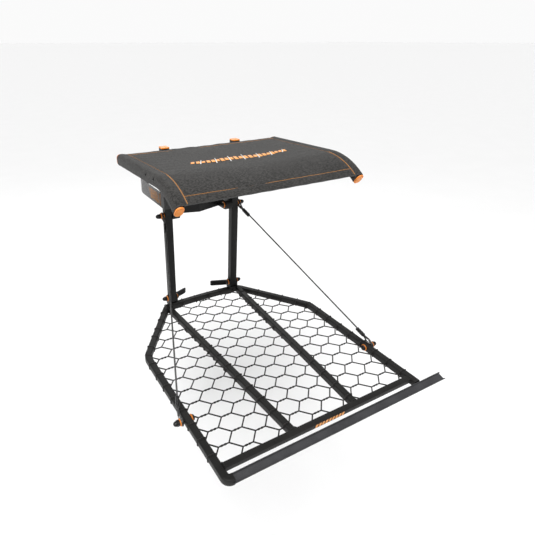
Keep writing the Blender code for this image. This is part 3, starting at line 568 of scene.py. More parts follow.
def fasteners():
    for side, sign in SIDES.items():
        for group, body in (("top", "posts"), ("base", "posts"), ("rail", "platform")):
            labels = ["inner", "middle", "outer"] if group == "top" else ["inner", "outer"]
            for label in labels:
                washer_piece(f"{group}_washer_{label}_{side}", body, sign)
            low, high, mid = span(f"{group}_bolt_{side}")
            head_x = min(abs(low.x), abs(high.x)) + 0.0055
            outer = span(f"{group}_washer_outer_{side}")
            nut_x = max(abs(outer[0].x), abs(outer[1].x)) + GAP
            stands = [f"{group}_nut_{side}"] if group != "base" else []
            nut_piece(f"{group}_dome_nut_{side}", body, stands, nut_x, mid.y, mid.z, sign)
            bolt_piece(f"{group}_button_bolt_{side}", body, [f"{group}_bolt_{side}"], head_x, nut_x + 0.009,
                       mid.y, mid.z, sign)
        seat_pin(side, sign)


def seat_pin(side, sign):
    low, high, mid = span(f"seat_pin_{side}")
    near, far = sorted((abs(low.x), abs(high.x)))
    length = far - near
    profile = [(0.0, 0), (0.0, 0.0060), (0.0008, 0.0072), (0.0038, 0.0075), (0.0045, 0.0070),
               (0.0045, BOLT_R), (length - 0.0045, BOLT_R), (length - 0.0045, 0.0082), (length - 0.003, 0.0085),
               (length - 0.0008, 0.0072), (length, 0.0060), (length, 0)]
    bm = bmesh.new()
    add_lathe(bm, profile, (sign * near, mid.y, mid.z), (sign, 0, 0), 32)
    place(f"seat_rivet_{side}", bm, "steel", "posts", [f"seat_pin_{side}"], 35)


# ---------------------------------------------------------------- posts
def posts():
    outer = rounded_box(TUBE, TUBE, 0.0026, 4)
    inner = rounded_box(TUBE - 0.0034, TUBE - 0.0034, 0.0012, 4)
    for side, sign in SIDES.items():
        x = sign * POST_X
        bm = bmesh.new()
        levels = [POST_LOW.z, POST_LOW.z + 0.001, POST_HIGH.z - 0.001, POST_HIGH.z]
        add_sweep(bm, [(x, 0, z) for z in levels], (1, 0, 0), outer, inner)
        place(f"post_tube_{side}", bm, "post", "posts", [f"post_{side}"], 40)
        post_cap(side, x)
        for z in (SEAT_PIN.z, TOP_BOLT.z):
            bush(f"post_bushing_{side}_{int(z * 1000)}", x, z)


def bush(name, x, z):
    """Thin pressed collar round a bolt hole, on both faces of a post."""
    bm = bmesh.new()
    for sign in (-1, 1):
        add_lathe(bm, [(0, 0.0052), (0.00025, 0.0054), (0.00025, 0.0085), (0, 0.0090)],
                  (x + sign * TUBE_R, 0, z), (sign, 0, 0), 28, closed=True)
    place(name, bm, "post", "posts", (), 35)


def post_cap(side, x):
    """Push-in cap with a soft-edged flange, a shallow crown and a square plug."""
    low, high, _ = span(f"post_cap_{side}")
    flange = POST_HIGH.z + GAP
    bm = bmesh.new()
    levels = [(flange, 0.955), (flange + 0.0006, 1.0), (high.z - 0.0014, 1.0), (high.z - 0.0005, 0.965),
              (high.z - 0.0001, 0.90), (high.z, 0.72)]
    add_sweep(bm, [(x, 0, z) for z, _ in levels], (1, 0, 0), rounded_box(POST_CAP_W, POST_CAP_W, 0.003, 4),
              scales=[s for _, s in levels])
    plug = rounded_box(TUBE - 0.0042, TUBE - 0.0042, 0.0015, 2)
    add_sweep(bm, [(x, 0, low.z), (x, 0, flange + 0.001)], (1, 0, 0), plug)
    place(f"post_end_cap_{side}", bm, "orange", "posts", [f"post_cap_{side}"], 30)


# ---------------------------------------------------------------- platform tubes
def frame_line():
    x, y = CORNER_X, CORNER_Y
    end = RAIL_END_LEFT + RAIL_R
    corners = [(-x + TURNED_END, end), (-x, end), (-x, y), (-BEND_X, 0), (0, REAR_ARCH), (BEND_X, 0), (x, y),
               (x, RAIL_END_RIGHT)]
    radii = [RAIL_R * 1.25, 0.045, 0.040, 1.5, 0.040, 0.045]
    return [(a, b, FRAME_Z) for a, b in fillet(corners, radii, radians(3))]


def platform_tubes():
    bm = bmesh.new()
    add_sweep(bm, frame_line(), (0, 0, 1), rounded_box(RAIL, RAIL, CORNER_R, 5),
              rounded_box(RAIL - 0.0032, RAIL - 0.0032, CORNER_R - 0.0016, 5))
    place("platform_perimeter", bm, "frame", "platform", ["platform_frame"], 50)
    bm = bmesh.new()
    reach = CORNER_X - RAIL_R * 0.9
    add_sweep(bm, [(-reach, BAR_MID.y, BAR_MID.z), (reach, BAR_MID.y, BAR_MID.z)], (0, 0, 1),
              rounded_box(BAR_HIGH.z - BAR_LOW.z, BAR_HIGH.y - BAR_LOW.y, 0.0020, 4))
    place("front_cross_bar", bm, "frame", "platform", ["front_bar"], 40)
    for side, sign in SIDES.items():
        inner_bar(side, sign)
        end_welds(side, sign)


def inner_bar_at(sign, y):
    """Point on an inner bar's axis at a distance along Y."""
    share = y / BAR_MID.y
    return Vector((sign * (INNER_REAR_X + (INNER_FRONT_X - INNER_REAR_X) * share), y, FRAME_Z))


def inner_bar(side, sign):
    bm = bmesh.new()
    ends = [inner_bar_at(sign, -0.006), inner_bar_at(sign, -0.2), inner_bar_at(sign, -0.45),
            inner_bar_at(sign, BAR_REAR - 0.0002)]
    add_sweep(bm, ends, (0, 0, 1), rounded_box(RAIL - 0.0002, RAIL - 0.0002, CORNER_R, 5))
    place(f"inner_tube_{side}", bm, "frame", "platform", [f"inner_bar_{side}"], 50)


def bead(bm, points, radius=0.0016, seed=1):
    """Weld bead: a rope of small overlapping lumps along a line."""
    chance = random.Random(seed)
    path = smooth_path(points, 0.0012)
    sizes = [radius * (0.82 + 0.22 * (k % 2) + chance.uniform(-0.08, 0.08)) for k in range(len(path))]
    add_tube(bm, path, sizes)


def end_welds(side, sign):
    """Beads where the inner bar meets the front bar and rear tube, and where the front bar meets the rail."""
    bm = bmesh.new()
    half = RAIL_R - CORNER_R
    front = inner_bar_at(sign, BAR_REAR)
    bead(bm, [front + Vector((half * k / 3, 0.0002, BAR_HIGH.z - FRAME_Z)) for k in range(-3, 4)], seed=4)
    rail_x = sign * (CORNER_X - RAIL_R)
    for y in (BAR_LOW.y, BAR_HIGH.y):
        bead(bm, [(rail_x, y, BAR_LOW.z + (BAR_HIGH.z - BAR_LOW.z) * k / 4) for k in range(5)], seed=5)
    depth = BAR_HIGH.y - BAR_LOW.y
    bead(bm, [(rail_x, BAR_LOW.y + depth * k / 4, BAR_HIGH.z - 0.0004) for k in range(5)], seed=6)
    rear = inner_bar_at(sign, -RAIL_R + 0.001)
    bead(bm, [rear + Vector((half * k / 3, 0, RAIL_R - 0.0006)) for k in range(-3, 4)], seed=7)
    place(f"weld_beads_{side}", bm, "weld", "platform", (), 60)


def footrest():
    """Pressed channel with rounded bends and rolled lips, tilted towards the sitter's feet."""
    half, web, inner = FOOT_WIDTH / 2, FOOT_SHEET, FOOT_WIDTH / 2 - FOOT_SHEET
    outside = fillet([(-half, FOOT_LIP), (-half, 0), (half, 0), (half, FOOT_LIP)],
                     [0.0055, 0.0055], radians(9))
    inside = fillet([(inner, FOOT_LIP), (inner, web), (-inner, web), (-inner, FOOT_LIP)],
                    [0.0033, 0.0033], radians(9))
    rolls = {}
    for side in (1, -1):
        middle = side * (half + inner) / 2
        rolls[side] = [(middle + web / 2 * cos(t), FOOT_LIP + web * 0.45 * sin(t))
                       for t in [pi * k / 6 for k in range(1, 6)]]
    section = outside + rolls[1] + inside + rolls[-1]
    lowered = [(a, b - 0.003) for a, b in section]
    turned = [(a * cos(FOOT_TILT) - b * sin(FOOT_TILT), a * sin(FOOT_TILT) + b * cos(FOOT_TILT))
              for a, b in lowered]
    bm = bmesh.new()
    add_plate(bm, [(FOOT_Y + a, FRAME_Z + b) for a, b in turned], FOOT_LOW.x, FOOT_HIGH.x, "yz")
    place("footrest_channel", bm, "channel", "platform", ["footrest"], 50)


def hinge_ears():
    for side in SIDES:
        refined(f"hinge_bracket_{side}", "frame", "platform", 0.0007)
        refined(f"lower_claw_{side}", "post", "posts", 0.0008)
    refined("upper_bracket", "post", "posts", 0.001)


# ---------------------------------------------------------------- netting
def region(point):
    """Signed room inside the perimeter's centre line: positive inside, with the nearest edge's normal."""
    x, y = CORNER_X, CORNER_Y
    corners = [(-BEND_X, 0.002), (-x, y), (-x, BAR_MID.y), (x, BAR_MID.y), (x, y), (BEND_X, 0.002)]
    best = None
    for k, a in enumerate(corners):
        b = corners[(k + 1) % len(corners)]
        along = (Vector(b) - Vector(a)).normalized()
        inward = Vector((-along.y, along.x))
        room = inward.dot(Vector(point) - Vector(a))
        if best is None or room < best[0]:
            best = (room, inward, "bar" if k == 2 else "tube")
    return best


def lattice():
    """Every side of the hexagonal netting as pairs of plan points."""
    half = HEX_FLAT / 2
    for i in range(-8, 9):
        for j in range(-9, 10):
            offset = HEX_PITCH_Y / 2 if i % 2 else 0.0
            x = HEX_ORIGIN[0] + i * HEX_PITCH_X
            y = HEX_ORIGIN[1] + j * HEX_PITCH_Y + offset
            right = Vector((x + half, y))
            next_x = x + HEX_PITCH_X - half
            yield Vector((x - half, y)), right
            for step in (-1, 1):
                yield right, Vector((next_x, y + step * HEX_PITCH_Y / 2))


def wire_height(point, over):
    """Height of the wire: flat in the bays, bent over or under the inner bars."""
    lift = 0.0
    reach = RAIL_R + WIRE_R * BAND_SINK
    for sign in SIDES.values():
        away = abs(point.x - inner_bar_at(sign, point.y).x)
        if away < reach:
            lift = max(lift, reach * (1 - (away / reach) ** SQUARENESS) ** (1 / SQUARENESS))
    return FRAME_Z + (lift if over else -lift)


def wire_points(a, b, over):
    """Points along one side of the netting, close together where it bends round a bar."""
    count = max(4, ceil((b - a).length / 0.0006))
    flat = [a.lerp(b, k / count) for k in range(count + 1)]
    points = [Vector((p.x, p.y, wire_height(p, over))) for p in flat]
    level = [abs(p.z - FRAME_Z) < 1e-6 for p in points]
    return [p for k, p in enumerate(points) if k in (0, count) or not all(level[max(k - 1, 0):k + 2])]


def add_twist(bm, points):
    """Two strands twisted round each other along a side, closing to one wire at both ends."""
    start, end = points[0], points[-1]
    along = (end - start).normalized()
    across = along.orthogonal().normalized()
    over = along.cross(across)
    for phase in (0.0, pi):
        strand = []
        for k in range(17):
            share = k / 16
            turn = phase + 2 * pi * TWIST_TURNS * share
            away = WIRE_R * 0.62 * min(1.0, 5 * share, 5 * (1 - share))
            strand.append(start.lerp(end, share) + (across * cos(turn) + over * sin(turn)) * away)
        add_tube(bm, strand, WIRE_R * 0.80, 7)


def add_wrap(bm, centre, inward):
    """A turn of wire pressed round the perimeter tube, with a small skew so that its ends pass."""
    reach = RAIL_R + WIRE_R * BAND_SINK
    out = Vector((inward.x, inward.y, 0))
    along = Vector((-inward.y, inward.x, 0))
    points = []
    for k in range(41):
        turn = 2 * pi * k / 40
        square = (abs(cos(turn)) ** SQUARENESS + abs(sin(turn)) ** SQUARENESS) ** (1 / SQUARENESS)
        ring = (out * cos(turn) + Vector((0, 0, sin(turn)))) / square
        points.append(Vector((centre.x, centre.y, FRAME_Z)) + ring * reach + along * WRAP_SKEW * k / 40)
    add_tube(bm, points, WIRE_R * 0.8, 8)


def netting():
    """Netting wires in the bays, and turns of wire round the perimeter tube where rows end."""
    net, wraps = bmesh.new(), bmesh.new()
    wrapped = []
    for a, b in lattice():
        twisted = abs(a.y - b.y) < 1e-6
        room_a, room_b = region(a), region(b)
        if room_a[0] < room_b[0]:
            a, b, room_a, room_b = b, a, room_b, room_a
        limit = RAIL_R + WIRE_R * BAND_SINK if room_b[2] == "tube" else BAR_HIGH.y - BAR_MID.y
        if room_a[0] <= limit:
            continue
        ends_at_tube = room_b[0] < limit
        if ends_at_tube:
            b = a.lerp(b, (room_a[0] - limit) / (room_a[0] - room_b[0]))
            centre = b - room_b[1] * limit
            if room_b[2] == "tube" and all((centre - other).length > WRAP_SPACING for other in wrapped):
                wrapped.append(centre)
                add_wrap(wraps, centre, room_b[1])
        points = wire_points(a, b, twisted)
        if twisted and len(points) == 2 and not ends_at_tube:
            add_twist(net, points)
        else:
            add_tube(net, points, WIRE_R, 8)
        for end in (points[0], points[-1]):
            bmesh.ops.create_icosphere(net, subdivisions=1, radius=WIRE_R * 1.12,
                                       matrix=Matrix.Translation(end))
    panels = [f"mesh_panel_{place_name}" for place_name in ("left", "middle", "right")]
    place("platform_netting", net, "wire", "platform", panels, 60)
    place("netting_wraps", wraps, "wire", "platform", (), 60)


# ---------------------------------------------------------------- cables
def cable_ends(sign):
    """Eye centres, the direction down the cable, and the sleeves' mouths."""
    top_x = POST_X + TUBE_R + GAP + WASHER_T + GAP + EYE_GAP / 2
    low_x = CORNER_X + RAIL_R + GAP + WASHER_T + GAP + EYE_GAP / 2
    top = Vector((sign * top_x, 0, TOP_BOLT.z))
    low = Vector((sign * low_x, RAIL_BOLT.y, RAIL_BOLT.z))
    down = Vector((0, low.y - top.y, low.z - top.z)).normalized()
    lean = Vector((sign * CABLE_LEAN, 0, 0))
    return top, low, down, top + down * EYE_TO_SLEEVE + lean, low - down * EYE_TO_SLEEVE - lean


def eye_points(centre, mouth, along, run, pitch):
    """Cable points from a strand's end in the sleeve, round the bolt and back to the other strand."""
    across = Vector((1, 0, 0)).cross(along).normalized()
    neck, spread = EYE_NECK
    points = [mouth + run * SLEEVE_LENGTH + across * pitch, mouth + across * pitch,
              centre + along * neck + across * spread]
    for turn in [radians(d) for d in range(60, 301, 40)]:
        points.append(centre + (along * cos(turn) + across * sin(turn)) * EYE_R)
    points += [centre + along * neck - across * spread, mouth - across * pitch,
               mouth + run * SLEEVE_LENGTH - across * pitch]
    return points


def cables():
    """Both cables with their sleeves and thimbles."""
    for side, sign in SIDES.items():
        top, low, down, high_mouth, low_mouth = cable_ends(sign)
        run = (low_mouth - high_mouth).normalized()
        pitch = CABLE_R + GAP / 2
        route = eye_points(top, high_mouth, down, run, pitch) + eye_points(low, low_mouth, -down, -run, pitch)
        bm = bmesh.new()
        add_tube(bm, smooth_path(route, 0.0035), CABLE_R, 14)
        cable = place(f"support_cable_{side}", bm, "jacket", "posts", [f"cable_{side}"], 60)
        cable.parent = None
        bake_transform(cable)
        swage(f"sleeve_top_{side}", high_mouth, run, run, "posts")
        swage(f"sleeve_low_{side}", low_mouth, -run, run, "platform")
        thimble(f"thimble_top_{side}", top, down, "posts")
        thimble(f"thimble_low_{side}", low, -down, "platform")


def swage(node, mouth, direction, run, body):
    """Oval sleeve with three crimped bands and rolled ends."""
    wide = 4 * CABLE_R + GAP
    across = Vector((1, 0, 0)).cross(run).normalized()
    count = 40
    ends = [mouth + direction * (0.002 + (SLEEVE_LENGTH - 0.004) * k / count) for k in range(count + 1)]
    scales = []
    for k in range(count + 1):
        share = k / count
        dip = sum(max(0.0, 1 - abs(share - c) / 0.075) for c in (0.2, 0.5, 0.8))
        end = max(0.0, 1 - min(share, 1 - share) / 0.03)
        scales.append(1.0 - 0.13 * min(1.0, dip) - 0.06 * end)
    bm = bmesh.new()
    add_sweep(bm, ends, across.cross(run), stadium(2 * CABLE_R + SLEEVE_WALL, wide + SLEEVE_WALL, 12),
              scales=scales)
    place(f"{node}_crimped", bm, "steel", body, [node], 50)


def thimble(name, centre, along, body):
    """Grooved saddle that keeps the cable's eye round on its bolt."""
    across = Vector((1, 0, 0)).cross(along).normalized()
    bm = bmesh.new()
    points = [centre + along * 0.0150 + across * 0.0040]
    for turn in [radians(d) for d in range(50, 311, 13)]:
        points.append(centre + (along * cos(turn) + across * sin(turn)) * 0.0067)
    points += [centre + along * 0.0150 - across * 0.0040]
    add_sweep(bm, points, (1, 0, 0), rounded_box(0.0052, 0.0011, 0.0004, 2))
    place(name, bm, "zinc", body, (), 40)


# ---------------------------------------------------------------- seat
def seat_line(rear_inset=0.0, front_inset=0.0, steps=9):
    """Rail centre line in (y, z): straight and rising slightly, then curved down at the front."""
    (y0, z0), (y1, z1) = SEAT_REAR, SEAT_KNEE
    rise = atan2(z1 - z0, y0 - y1)
    drop = SEAT_DROP - front_inset / SEAT_BEND_R
    points = [(y0 - rear_inset * cos(rise), z0 + rear_inset * sin(rise))]
    for k in range(steps + 1):
        heading = rise - (rise + drop) * k / steps
        points.append((y1 - SEAT_BEND_R * (sin(rise) - sin(heading)),
                       z1 + SEAT_BEND_R * (cos(heading) - cos(rise))))
    return points


def seat_rails():
    line = seat_line(steps=24)
    for side, sign in SIDES.items():
        bm = bmesh.new()
        add_sweep(bm, [(sign * SEAT_X, y, z) for y, z in line], (1, 0, 0), stadium(RAIL_W, RAIL_H, 12))
        place(f"seat_side_rail_{side}", bm, "post", "seat", [f"seat_rail_{side}"], 50)
        coarse = seat_line()
        for label, before, end in (("front", coarse[-2], coarse[-1]), ("rear", coarse[1], coarse[0])):
            rail_cap(f"rail_cap_{label}_{side}", sign, Vector((0, *before)), Vector((0, *end)))


def rail_cap(node, sign, before, end):
    """Oval plug cap with a rolled rim and a slightly dished face."""
    out = (end - before).normalized()
    base = end + Vector((sign * SEAT_X, 0, 0))
    steps = [(GAP, 0.93), (0.0006, 1.0), (0.0026, 1.0), (0.0036, 0.96), (0.0043, 0.88), (0.0045, 0.80),
             (0.0042, 0.70)]
    bm = bmesh.new()
    add_sweep(bm, [base + out * d for d, _ in steps], (1, 0, 0), stadium(0.0225, 0.0325, 12),
              scales=[s for _, s in steps])
    place(f"{node}_moulded", bm, "orange", "seat", [node], 40)


def surface(line):
    """Function giving the point and upward normal at a share of a line's length, and that length."""
    lengths = [0.0]
    for a, b in zip(line, line[1:]):
        lengths.append(lengths[-1] + hypot(b[0] - a[0], b[1] - a[1]))

    def at(share):
        wanted = share * lengths[-1]
        for k in range(len(line) - 1):
            if wanted <= lengths[k + 1] or k == len(line) - 2:
                t = (wanted - lengths[k]) / (lengths[k + 1] - lengths[k])
                a, b = line[k], line[k + 1]
                along = Vector((0, b[0] - a[0], b[1] - a[1])).normalized()
                point = Vector((0, a[0] + (b[0] - a[0]) * t, a[1] + (b[1] - a[1]) * t))
                return point, Vector((0, -along.z, along.y)) * -1
    return at, lengths[-1]


SLING_LINE = seat_line(SLING_REAR_INSET, SLING_FRONT_INSET, 40)
SLING_AT, SLING_LENGTH = surface(SLING_LINE)
SLEEVE_W = RAIL_W + 2 * (GAP + CLOTH) - CLOTH
SLEEVE_H = RAIL_H + 2 * (GAP + CLOTH) - CLOTH
RADIUS = SLEEVE_W / 2
RISE = SLEEVE_H / 2 - RADIUS
TOP = SLEEVE_H / 2


def cloth_profile(share):
    """Half of the cloth's cross-section at mid-thickness, from the sleeve's inner seam to the middle.

    Each entry is (x, height above the rails' centre line)."""
    points = [(SEAM_X + 0.001, TOP - 0.0034), (SEAM_X + 0.0045, TOP - 0.0050)]
    inner = SEAT_X - RADIUS
    points += [(inner - 0.0004, TOP - 0.0100), (inner, 0.004), (inner, -RISE + 0.003)]
    for k in range(13):
        turn = pi + pi * k / 12
        points.append((SEAT_X + RADIUS * cos(turn), -RISE + RADIUS * sin(turn)))
    for k in range(9):
        height = -0.0015 + (RISE + 0.0010) * k / 8
        points.append((SEAT_X + RADIUS + sleeve_crease(height, share), height))
    for k in range(9):
        turn = pi / 2 * k / 8
        points.append((SEAT_X + RADIUS * cos(turn), RISE + RADIUS * sin(turn)))
    points += [(SEAT_X - 0.004, TOP - 0.0001), (SEAT_X - 0.0080, TOP - 0.0007),
               (SEAM_X + 0.0062, TOP - 0.0014)]
    points += [(SEAM_X + 0.003, TOP - 0.0020), (SEAM_X + 0.0014, TOP - 0.0028), (SEAM_X, TOP - 0.0034),
               (SEAM_X - 0.0014, TOP - 0.0028), (SEAM_X - 0.004, TOP - 0.0021)]
    count = 30
    for k in range(1, count + 1):
        x = (SEAM_X - 0.004) * (1 - k / count)
        points.append((x, sheet_height(x, share)))
    return points


def sleeve_crease(height, share):
    """Shallow folds that run along the sleeve's outer side and gather round the bend."""
    gather = 0.35 + 0.65 * min(1.0, max(0.0, (share - 0.45) / 0.3))
    fold = sin(2.1 * pi * height / RISE + 1.4 * sin(7 * share))
    return 0.0007 * gather * (0.5 + 0.5 * fold)


def sheet_height(x, share):
    """Sag of the taut sheet and the shallow ripples that fan out of its corners."""
    across = 1 - (x / SEAM_X) ** 2
    hold = 0.35 + 0.65 * sin(pi * min(1.0, max(0.0, share)))
    sag = SAG * across ** 1.3 * hold
    edge = abs(x) / SEAM_X
    pull = 0.00055 * sin(26 * share * pi + 5 * edge) * edge ** 3 * across ** 0.35
    crease = 0.0006 * sin(9 * pi * x / SEAM_X + 2.0) * max(0.0, 1 - min(share, 1 - share) / 0.16) * across
    slack = 0.0007 * sin(5.2 * x / SEAM_X + 7.0 * share) * across
    return TOP - SHEET_DROP - sag + pull + crease + slack


def hem_groove(share):
    """Depth of the stitch lines that run across the sheet near its front and rear edges."""
    depth = 0.0
    for line in (HEM_FRONT, HEM_REAR):
        away = abs(share - line) * SLING_LENGTH
        depth += 0.0006 * max(0.0, 1 - (away / 0.0022) ** 2)
    return depth


HEM_FRONT = 1 - 0.0225 / SLING_LENGTH
HEM_REAR = 0.0150 / SLING_LENGTH


def sling_shares():
    """Stations along the sling, closer together at the two hem stitch lines."""
    marks = {k / 110 for k in range(111)}
    for line in (HEM_FRONT, HEM_REAR):
        marks |= {line + d / SLING_LENGTH for d in (-0.0022, -0.0011, 0.0, 0.0011, 0.0022)}
    return sorted(marks)


def on_sling(x, share, lift=0.0):
    """Point on the sheet's upper side."""
    centre, up = SLING_AT(share)
    height = sheet_height(x, share) - hem_groove(share) + CLOTH / 2 + lift
    if abs(x) > SEAM_X - 0.004:
        height = TOP - SHEET_DROP + CLOTH / 2 + lift
    return centre + Vector((x, 0, 0)) + up * height


def whole_profile(share):
    """The cloth's full cross-section, one sleeve's inner seam to the other's."""
    half = cloth_profile(share)
    return [(x, h) for x, h in half] + [(-x, h) for x, h in reversed(half[:-1])]


def sling():
    """One cloth: a sleeve round each rail and the sheet between, grooved along its hem stitch lines."""
    bm = bmesh.new()
    rows = []
    for share in sling_shares():
        centre, up = SLING_AT(share)
        groove = hem_groove(share)
        row = []
        for x, h in whole_profile(share):
            height = h - (groove if abs(x) < SEAM_X - 0.003 else 0)
            row.append(bm.verts.new(centre + Vector((x, 0, 0)) + up * height))
        rows.append(row)
    for a, b in zip(rows, rows[1:]):
        for i in range(len(a) - 1):
            bm.faces.new((a[i], a[i + 1], b[i + 1], b[i]))
    cloth = place("seat_cloth", bm, "cloth", "seat", ["seat_sling"], 60)
    thick = cloth.modifiers.new("thickness", "SOLIDIFY")
    thick.thickness = CLOTH
    thick.offset = 0.0
    half = cloth_profile(0.5)
    binding()
    hem_stitches()


def binding():
    """Bound edges at the cloth's front and rear, and a welt along each side seam."""
    for label, share in (("front", 1.0), ("rear", 0.0)):
        centre, up = SLING_AT(share)
        bm = bmesh.new()
        add_tube(bm, [centre + Vector((x, 0, 0)) + up * h for x, h in whole_profile(share)], 0.00125)
        place(f"cloth_edge_{label}", bm, "binding", "seat", (), 60)
    for side, sign in SIDES.items():
        bm = bmesh.new()
        path = []
        for k in range(91):
            centre, up = SLING_AT(k / 90)
            path.append(centre + Vector((sign * (SEAM_X + 0.0009), 0, 0)) + up * (TOP - 0.0016))
        add_tube(bm, path, 0.0011, 8)
        place(f"cloth_welt_{side}", bm, "binding", "seat", (), 60)


def stitch(bm, start, end, up, radius=0.00058):
    """One thread stitch, dipping into the cloth at both ends."""
    dip = up * 0.0004
    middle = (start + end) / 2 + up * 0.00050
    add_tube(bm, [start - dip, start.lerp(end, 0.2) + dip, middle, start.lerp(end, 0.8) + dip, end - dip],
             radius, 6)


def hem_stitches():
    """Orange topstitching: along both side seams, and across the front and rear hems."""
    bm = bmesh.new()
    for share in (HEM_FRONT, HEM_REAR):
        for k in range(int(2 * SEAM_X / STITCH_PITCH)):
            x = -SEAM_X + 0.001 + k * STITCH_PITCH
            _, up = SLING_AT(share)
            stitch(bm, on_sling(x, share), on_sling(x + STITCH_PITCH * STITCH_SHARE, share), up)
    for sign in SIDES.values():
        for k in range(int(SLING_LENGTH / STITCH_PITCH)):
            near = k * STITCH_PITCH / SLING_LENGTH
            far = (k + STITCH_SHARE) * STITCH_PITCH / SLING_LENGTH
            _, up = SLING_AT(near)
            x = sign * (SEAM_X - 0.0028)
            height = TOP - 0.0025 + CLOTH / 2
            ends = [SLING_AT(s)[0] + Vector((x, 0, 0)) + SLING_AT(s)[1] * height for s in (near, far)]
            stitch(bm, ends[0], ends[1], up, 0.00032)
    place("cloth_topstitching", bm, "thread", "seat", (), 60)
    for side, sign in SIDES.items():
        bm = bmesh.new()
        path = []
        for k in range(31):
            share = 0.72 + 0.275 * k / 30
            centre, up = SLING_AT(share)
            path.append(centre + Vector((sign * (SEAM_X - 0.0012), 0, 0)) + up * (TOP - 0.0012))
        add_tube(bm, path, 0.0007, 8)
        place(f"seam_piping_{side}", bm, "thread", "seat", (), 60)


def printed(name, look, quads, lift):
    """Thin ink patches laid on the cloth; each quad is four (x, share) corners."""
    bm = bmesh.new()
    for quad in quads:
        steps = 6
        grid = []
        for i in range(steps + 1):
            row = []
            for j in range(3):
                u, v = i / steps, j / 2
                a = [(1 - u) * quad[0][m] + u * quad[1][m] for m in (0, 1)]
                b = [(1 - u) * quad[3][m] + u * quad[2][m] for m in (0, 1)]
                x, share = [(1 - v) * a[m] + v * b[m] for m in (0, 1)]
                row.append(bm.verts.new(on_sling(x, share, lift)))
            grid.append(row)
        for a, b in zip(grid, grid[1:]):
            for j in range(2):
                bm.faces.new((a[j], b[j], b[j + 1], a[j + 1]))
    piece = place(name, bm, look, "seat", (), 60)
    skin = piece.modifiers.new("ink", "SOLIDIFY")
    skin.thickness = 0.00015


def seat_print():
    """Plain flourish of slanted strokes across the sheet, in place of any lettering."""
    middle = 0.200 / SLING_LENGTH
    orange, white = [], []
    for k in range(21):
        x = -0.142 + k * 0.0150
        swell = sin(pi * (k + 1) / 22)
        reach = (0.0090 + 0.0060 * swell + 0.0022 * sin(k * 2.3)) / SLING_LENGTH
        lean = 0.0048
        centre = middle + 0.0040 / SLING_LENGTH * sin(k * 0.55)
        orange.append([(x - lean, centre + reach), (x + 0.0115 - lean, centre + reach),
                       (x + 0.0105 + lean, centre - reach), (x + lean, centre - reach)])
        if k % 3 == 1:
            high = reach * (1.5 + 0.8 * swell)
            white.append([(x + 0.0105 - 2 * lean, centre + high), (x + 0.0140 - 2 * lean, centre + high),
                          (x + 0.0160 + 2 * lean, centre - high), (x + 0.0140 + 2 * lean, centre - high)])
    printed("seat_print_orange", "ink_orange", orange, 0.00022)
    printed("seat_print_white", "ink_white", white, 0.00042)


def bar_print():
    """Short row of slanted orange dashes on the front bar's face."""
    bm = bmesh.new()
    face = BAR_LOW.y - 0.0002
    for k in range(9):
        x = -0.044 + k * 0.0108
        corners = [(x, BAR_LOW.z + 0.0028), (x + 0.0072, BAR_LOW.z + 0.0028),
                   (x + 0.0100, BAR_HIGH.z - 0.0028), (x + 0.0028, BAR_HIGH.z - 0.0028)]
        front = [bm.verts.new((a, face, b)) for a, b in corners]
        back = [bm.verts.new((a, face + 0.0003, b)) for a, b in corners]
        bm.faces.new(front)
        bm.faces.new(back)
        join_rings(bm, front, back)
    place("front_bar_print", bm, "ink_orange", "platform", (), 40)


def sleeve_screws():
    """Two small countersunk screws through the outer side of each sleeve."""
    for side, sign in SIDES.items():
        bm = bmesh.new()
        for share in (0.57, 0.70):
            centre, up = SLING_AT(share)
            start = centre + Vector((sign * (SEAT_X + RADIUS + CLOTH / 2), 0, 0)) + up * 0.006
            add_lathe(bm, [(-0.0006, 0), (-0.0006, 0.0034), (0.0004, 0.0036), (0.0012, 0.0028),
                           (0.0015, 0.0016), (0.0009, 0.0012), (0.0009, 0)], start, (sign, 0, 0), 24)
        place(f"sleeve_screws_{side}", bm, "steel", "seat", (), 40)


def under_seat():
    """The underframe with its edges rounded, and the end plugs of its stop bar."""
    refined("seat_frame", "post", "seat", 0.0009)
    low = span("seat_frame")[0]
    bm = bmesh.new()
    stop_y = -TUBE_R - GAP - TUBE_R
    stop_z = low.z + TUBE_R
    for sign in SIDES.values():
        points = [(sign * x, stop_y, stop_z) for x in (0.1372, 0.1378, 0.1392)]
        add_sweep(bm, points, (0, 0, 1), rounded_box(TUBE, TUBE, 0.003, 3), scales=[1.02, 1.02, 0.9])
    place("stop_bar_plugs", bm, "orange", "seat", (), 40)


# ---------------------------------------------------------------- tree strap and ratchet
def strap_line():
    """Plan of the webbing: hooked round one post, back round the trunk, hooked round the other post."""
    clear = TUBE_R + 2 * GAP + STRAP_T / 2
    outer, inner, front = POST_X + clear, POST_X - clear, -clear
    start = [(-inner, 0.010), (-inner, front), (-outer, front), (-outer, HOOK_END_Y)]
    hook = fillet(start, [0.0024, 0.0024], radians(15))[:-1]
    half_turn = [(-outer * cos(t), TRUNK_Y + outer * sin(t)) for t in [pi * k / 72 for k in range(73)]]
    run = [(-outer, HOOK_END_Y + 0.012 * k) for k in range(11)]
    return hook + run + half_turn + [(-a, b) for a, b in reversed(hook + run)]


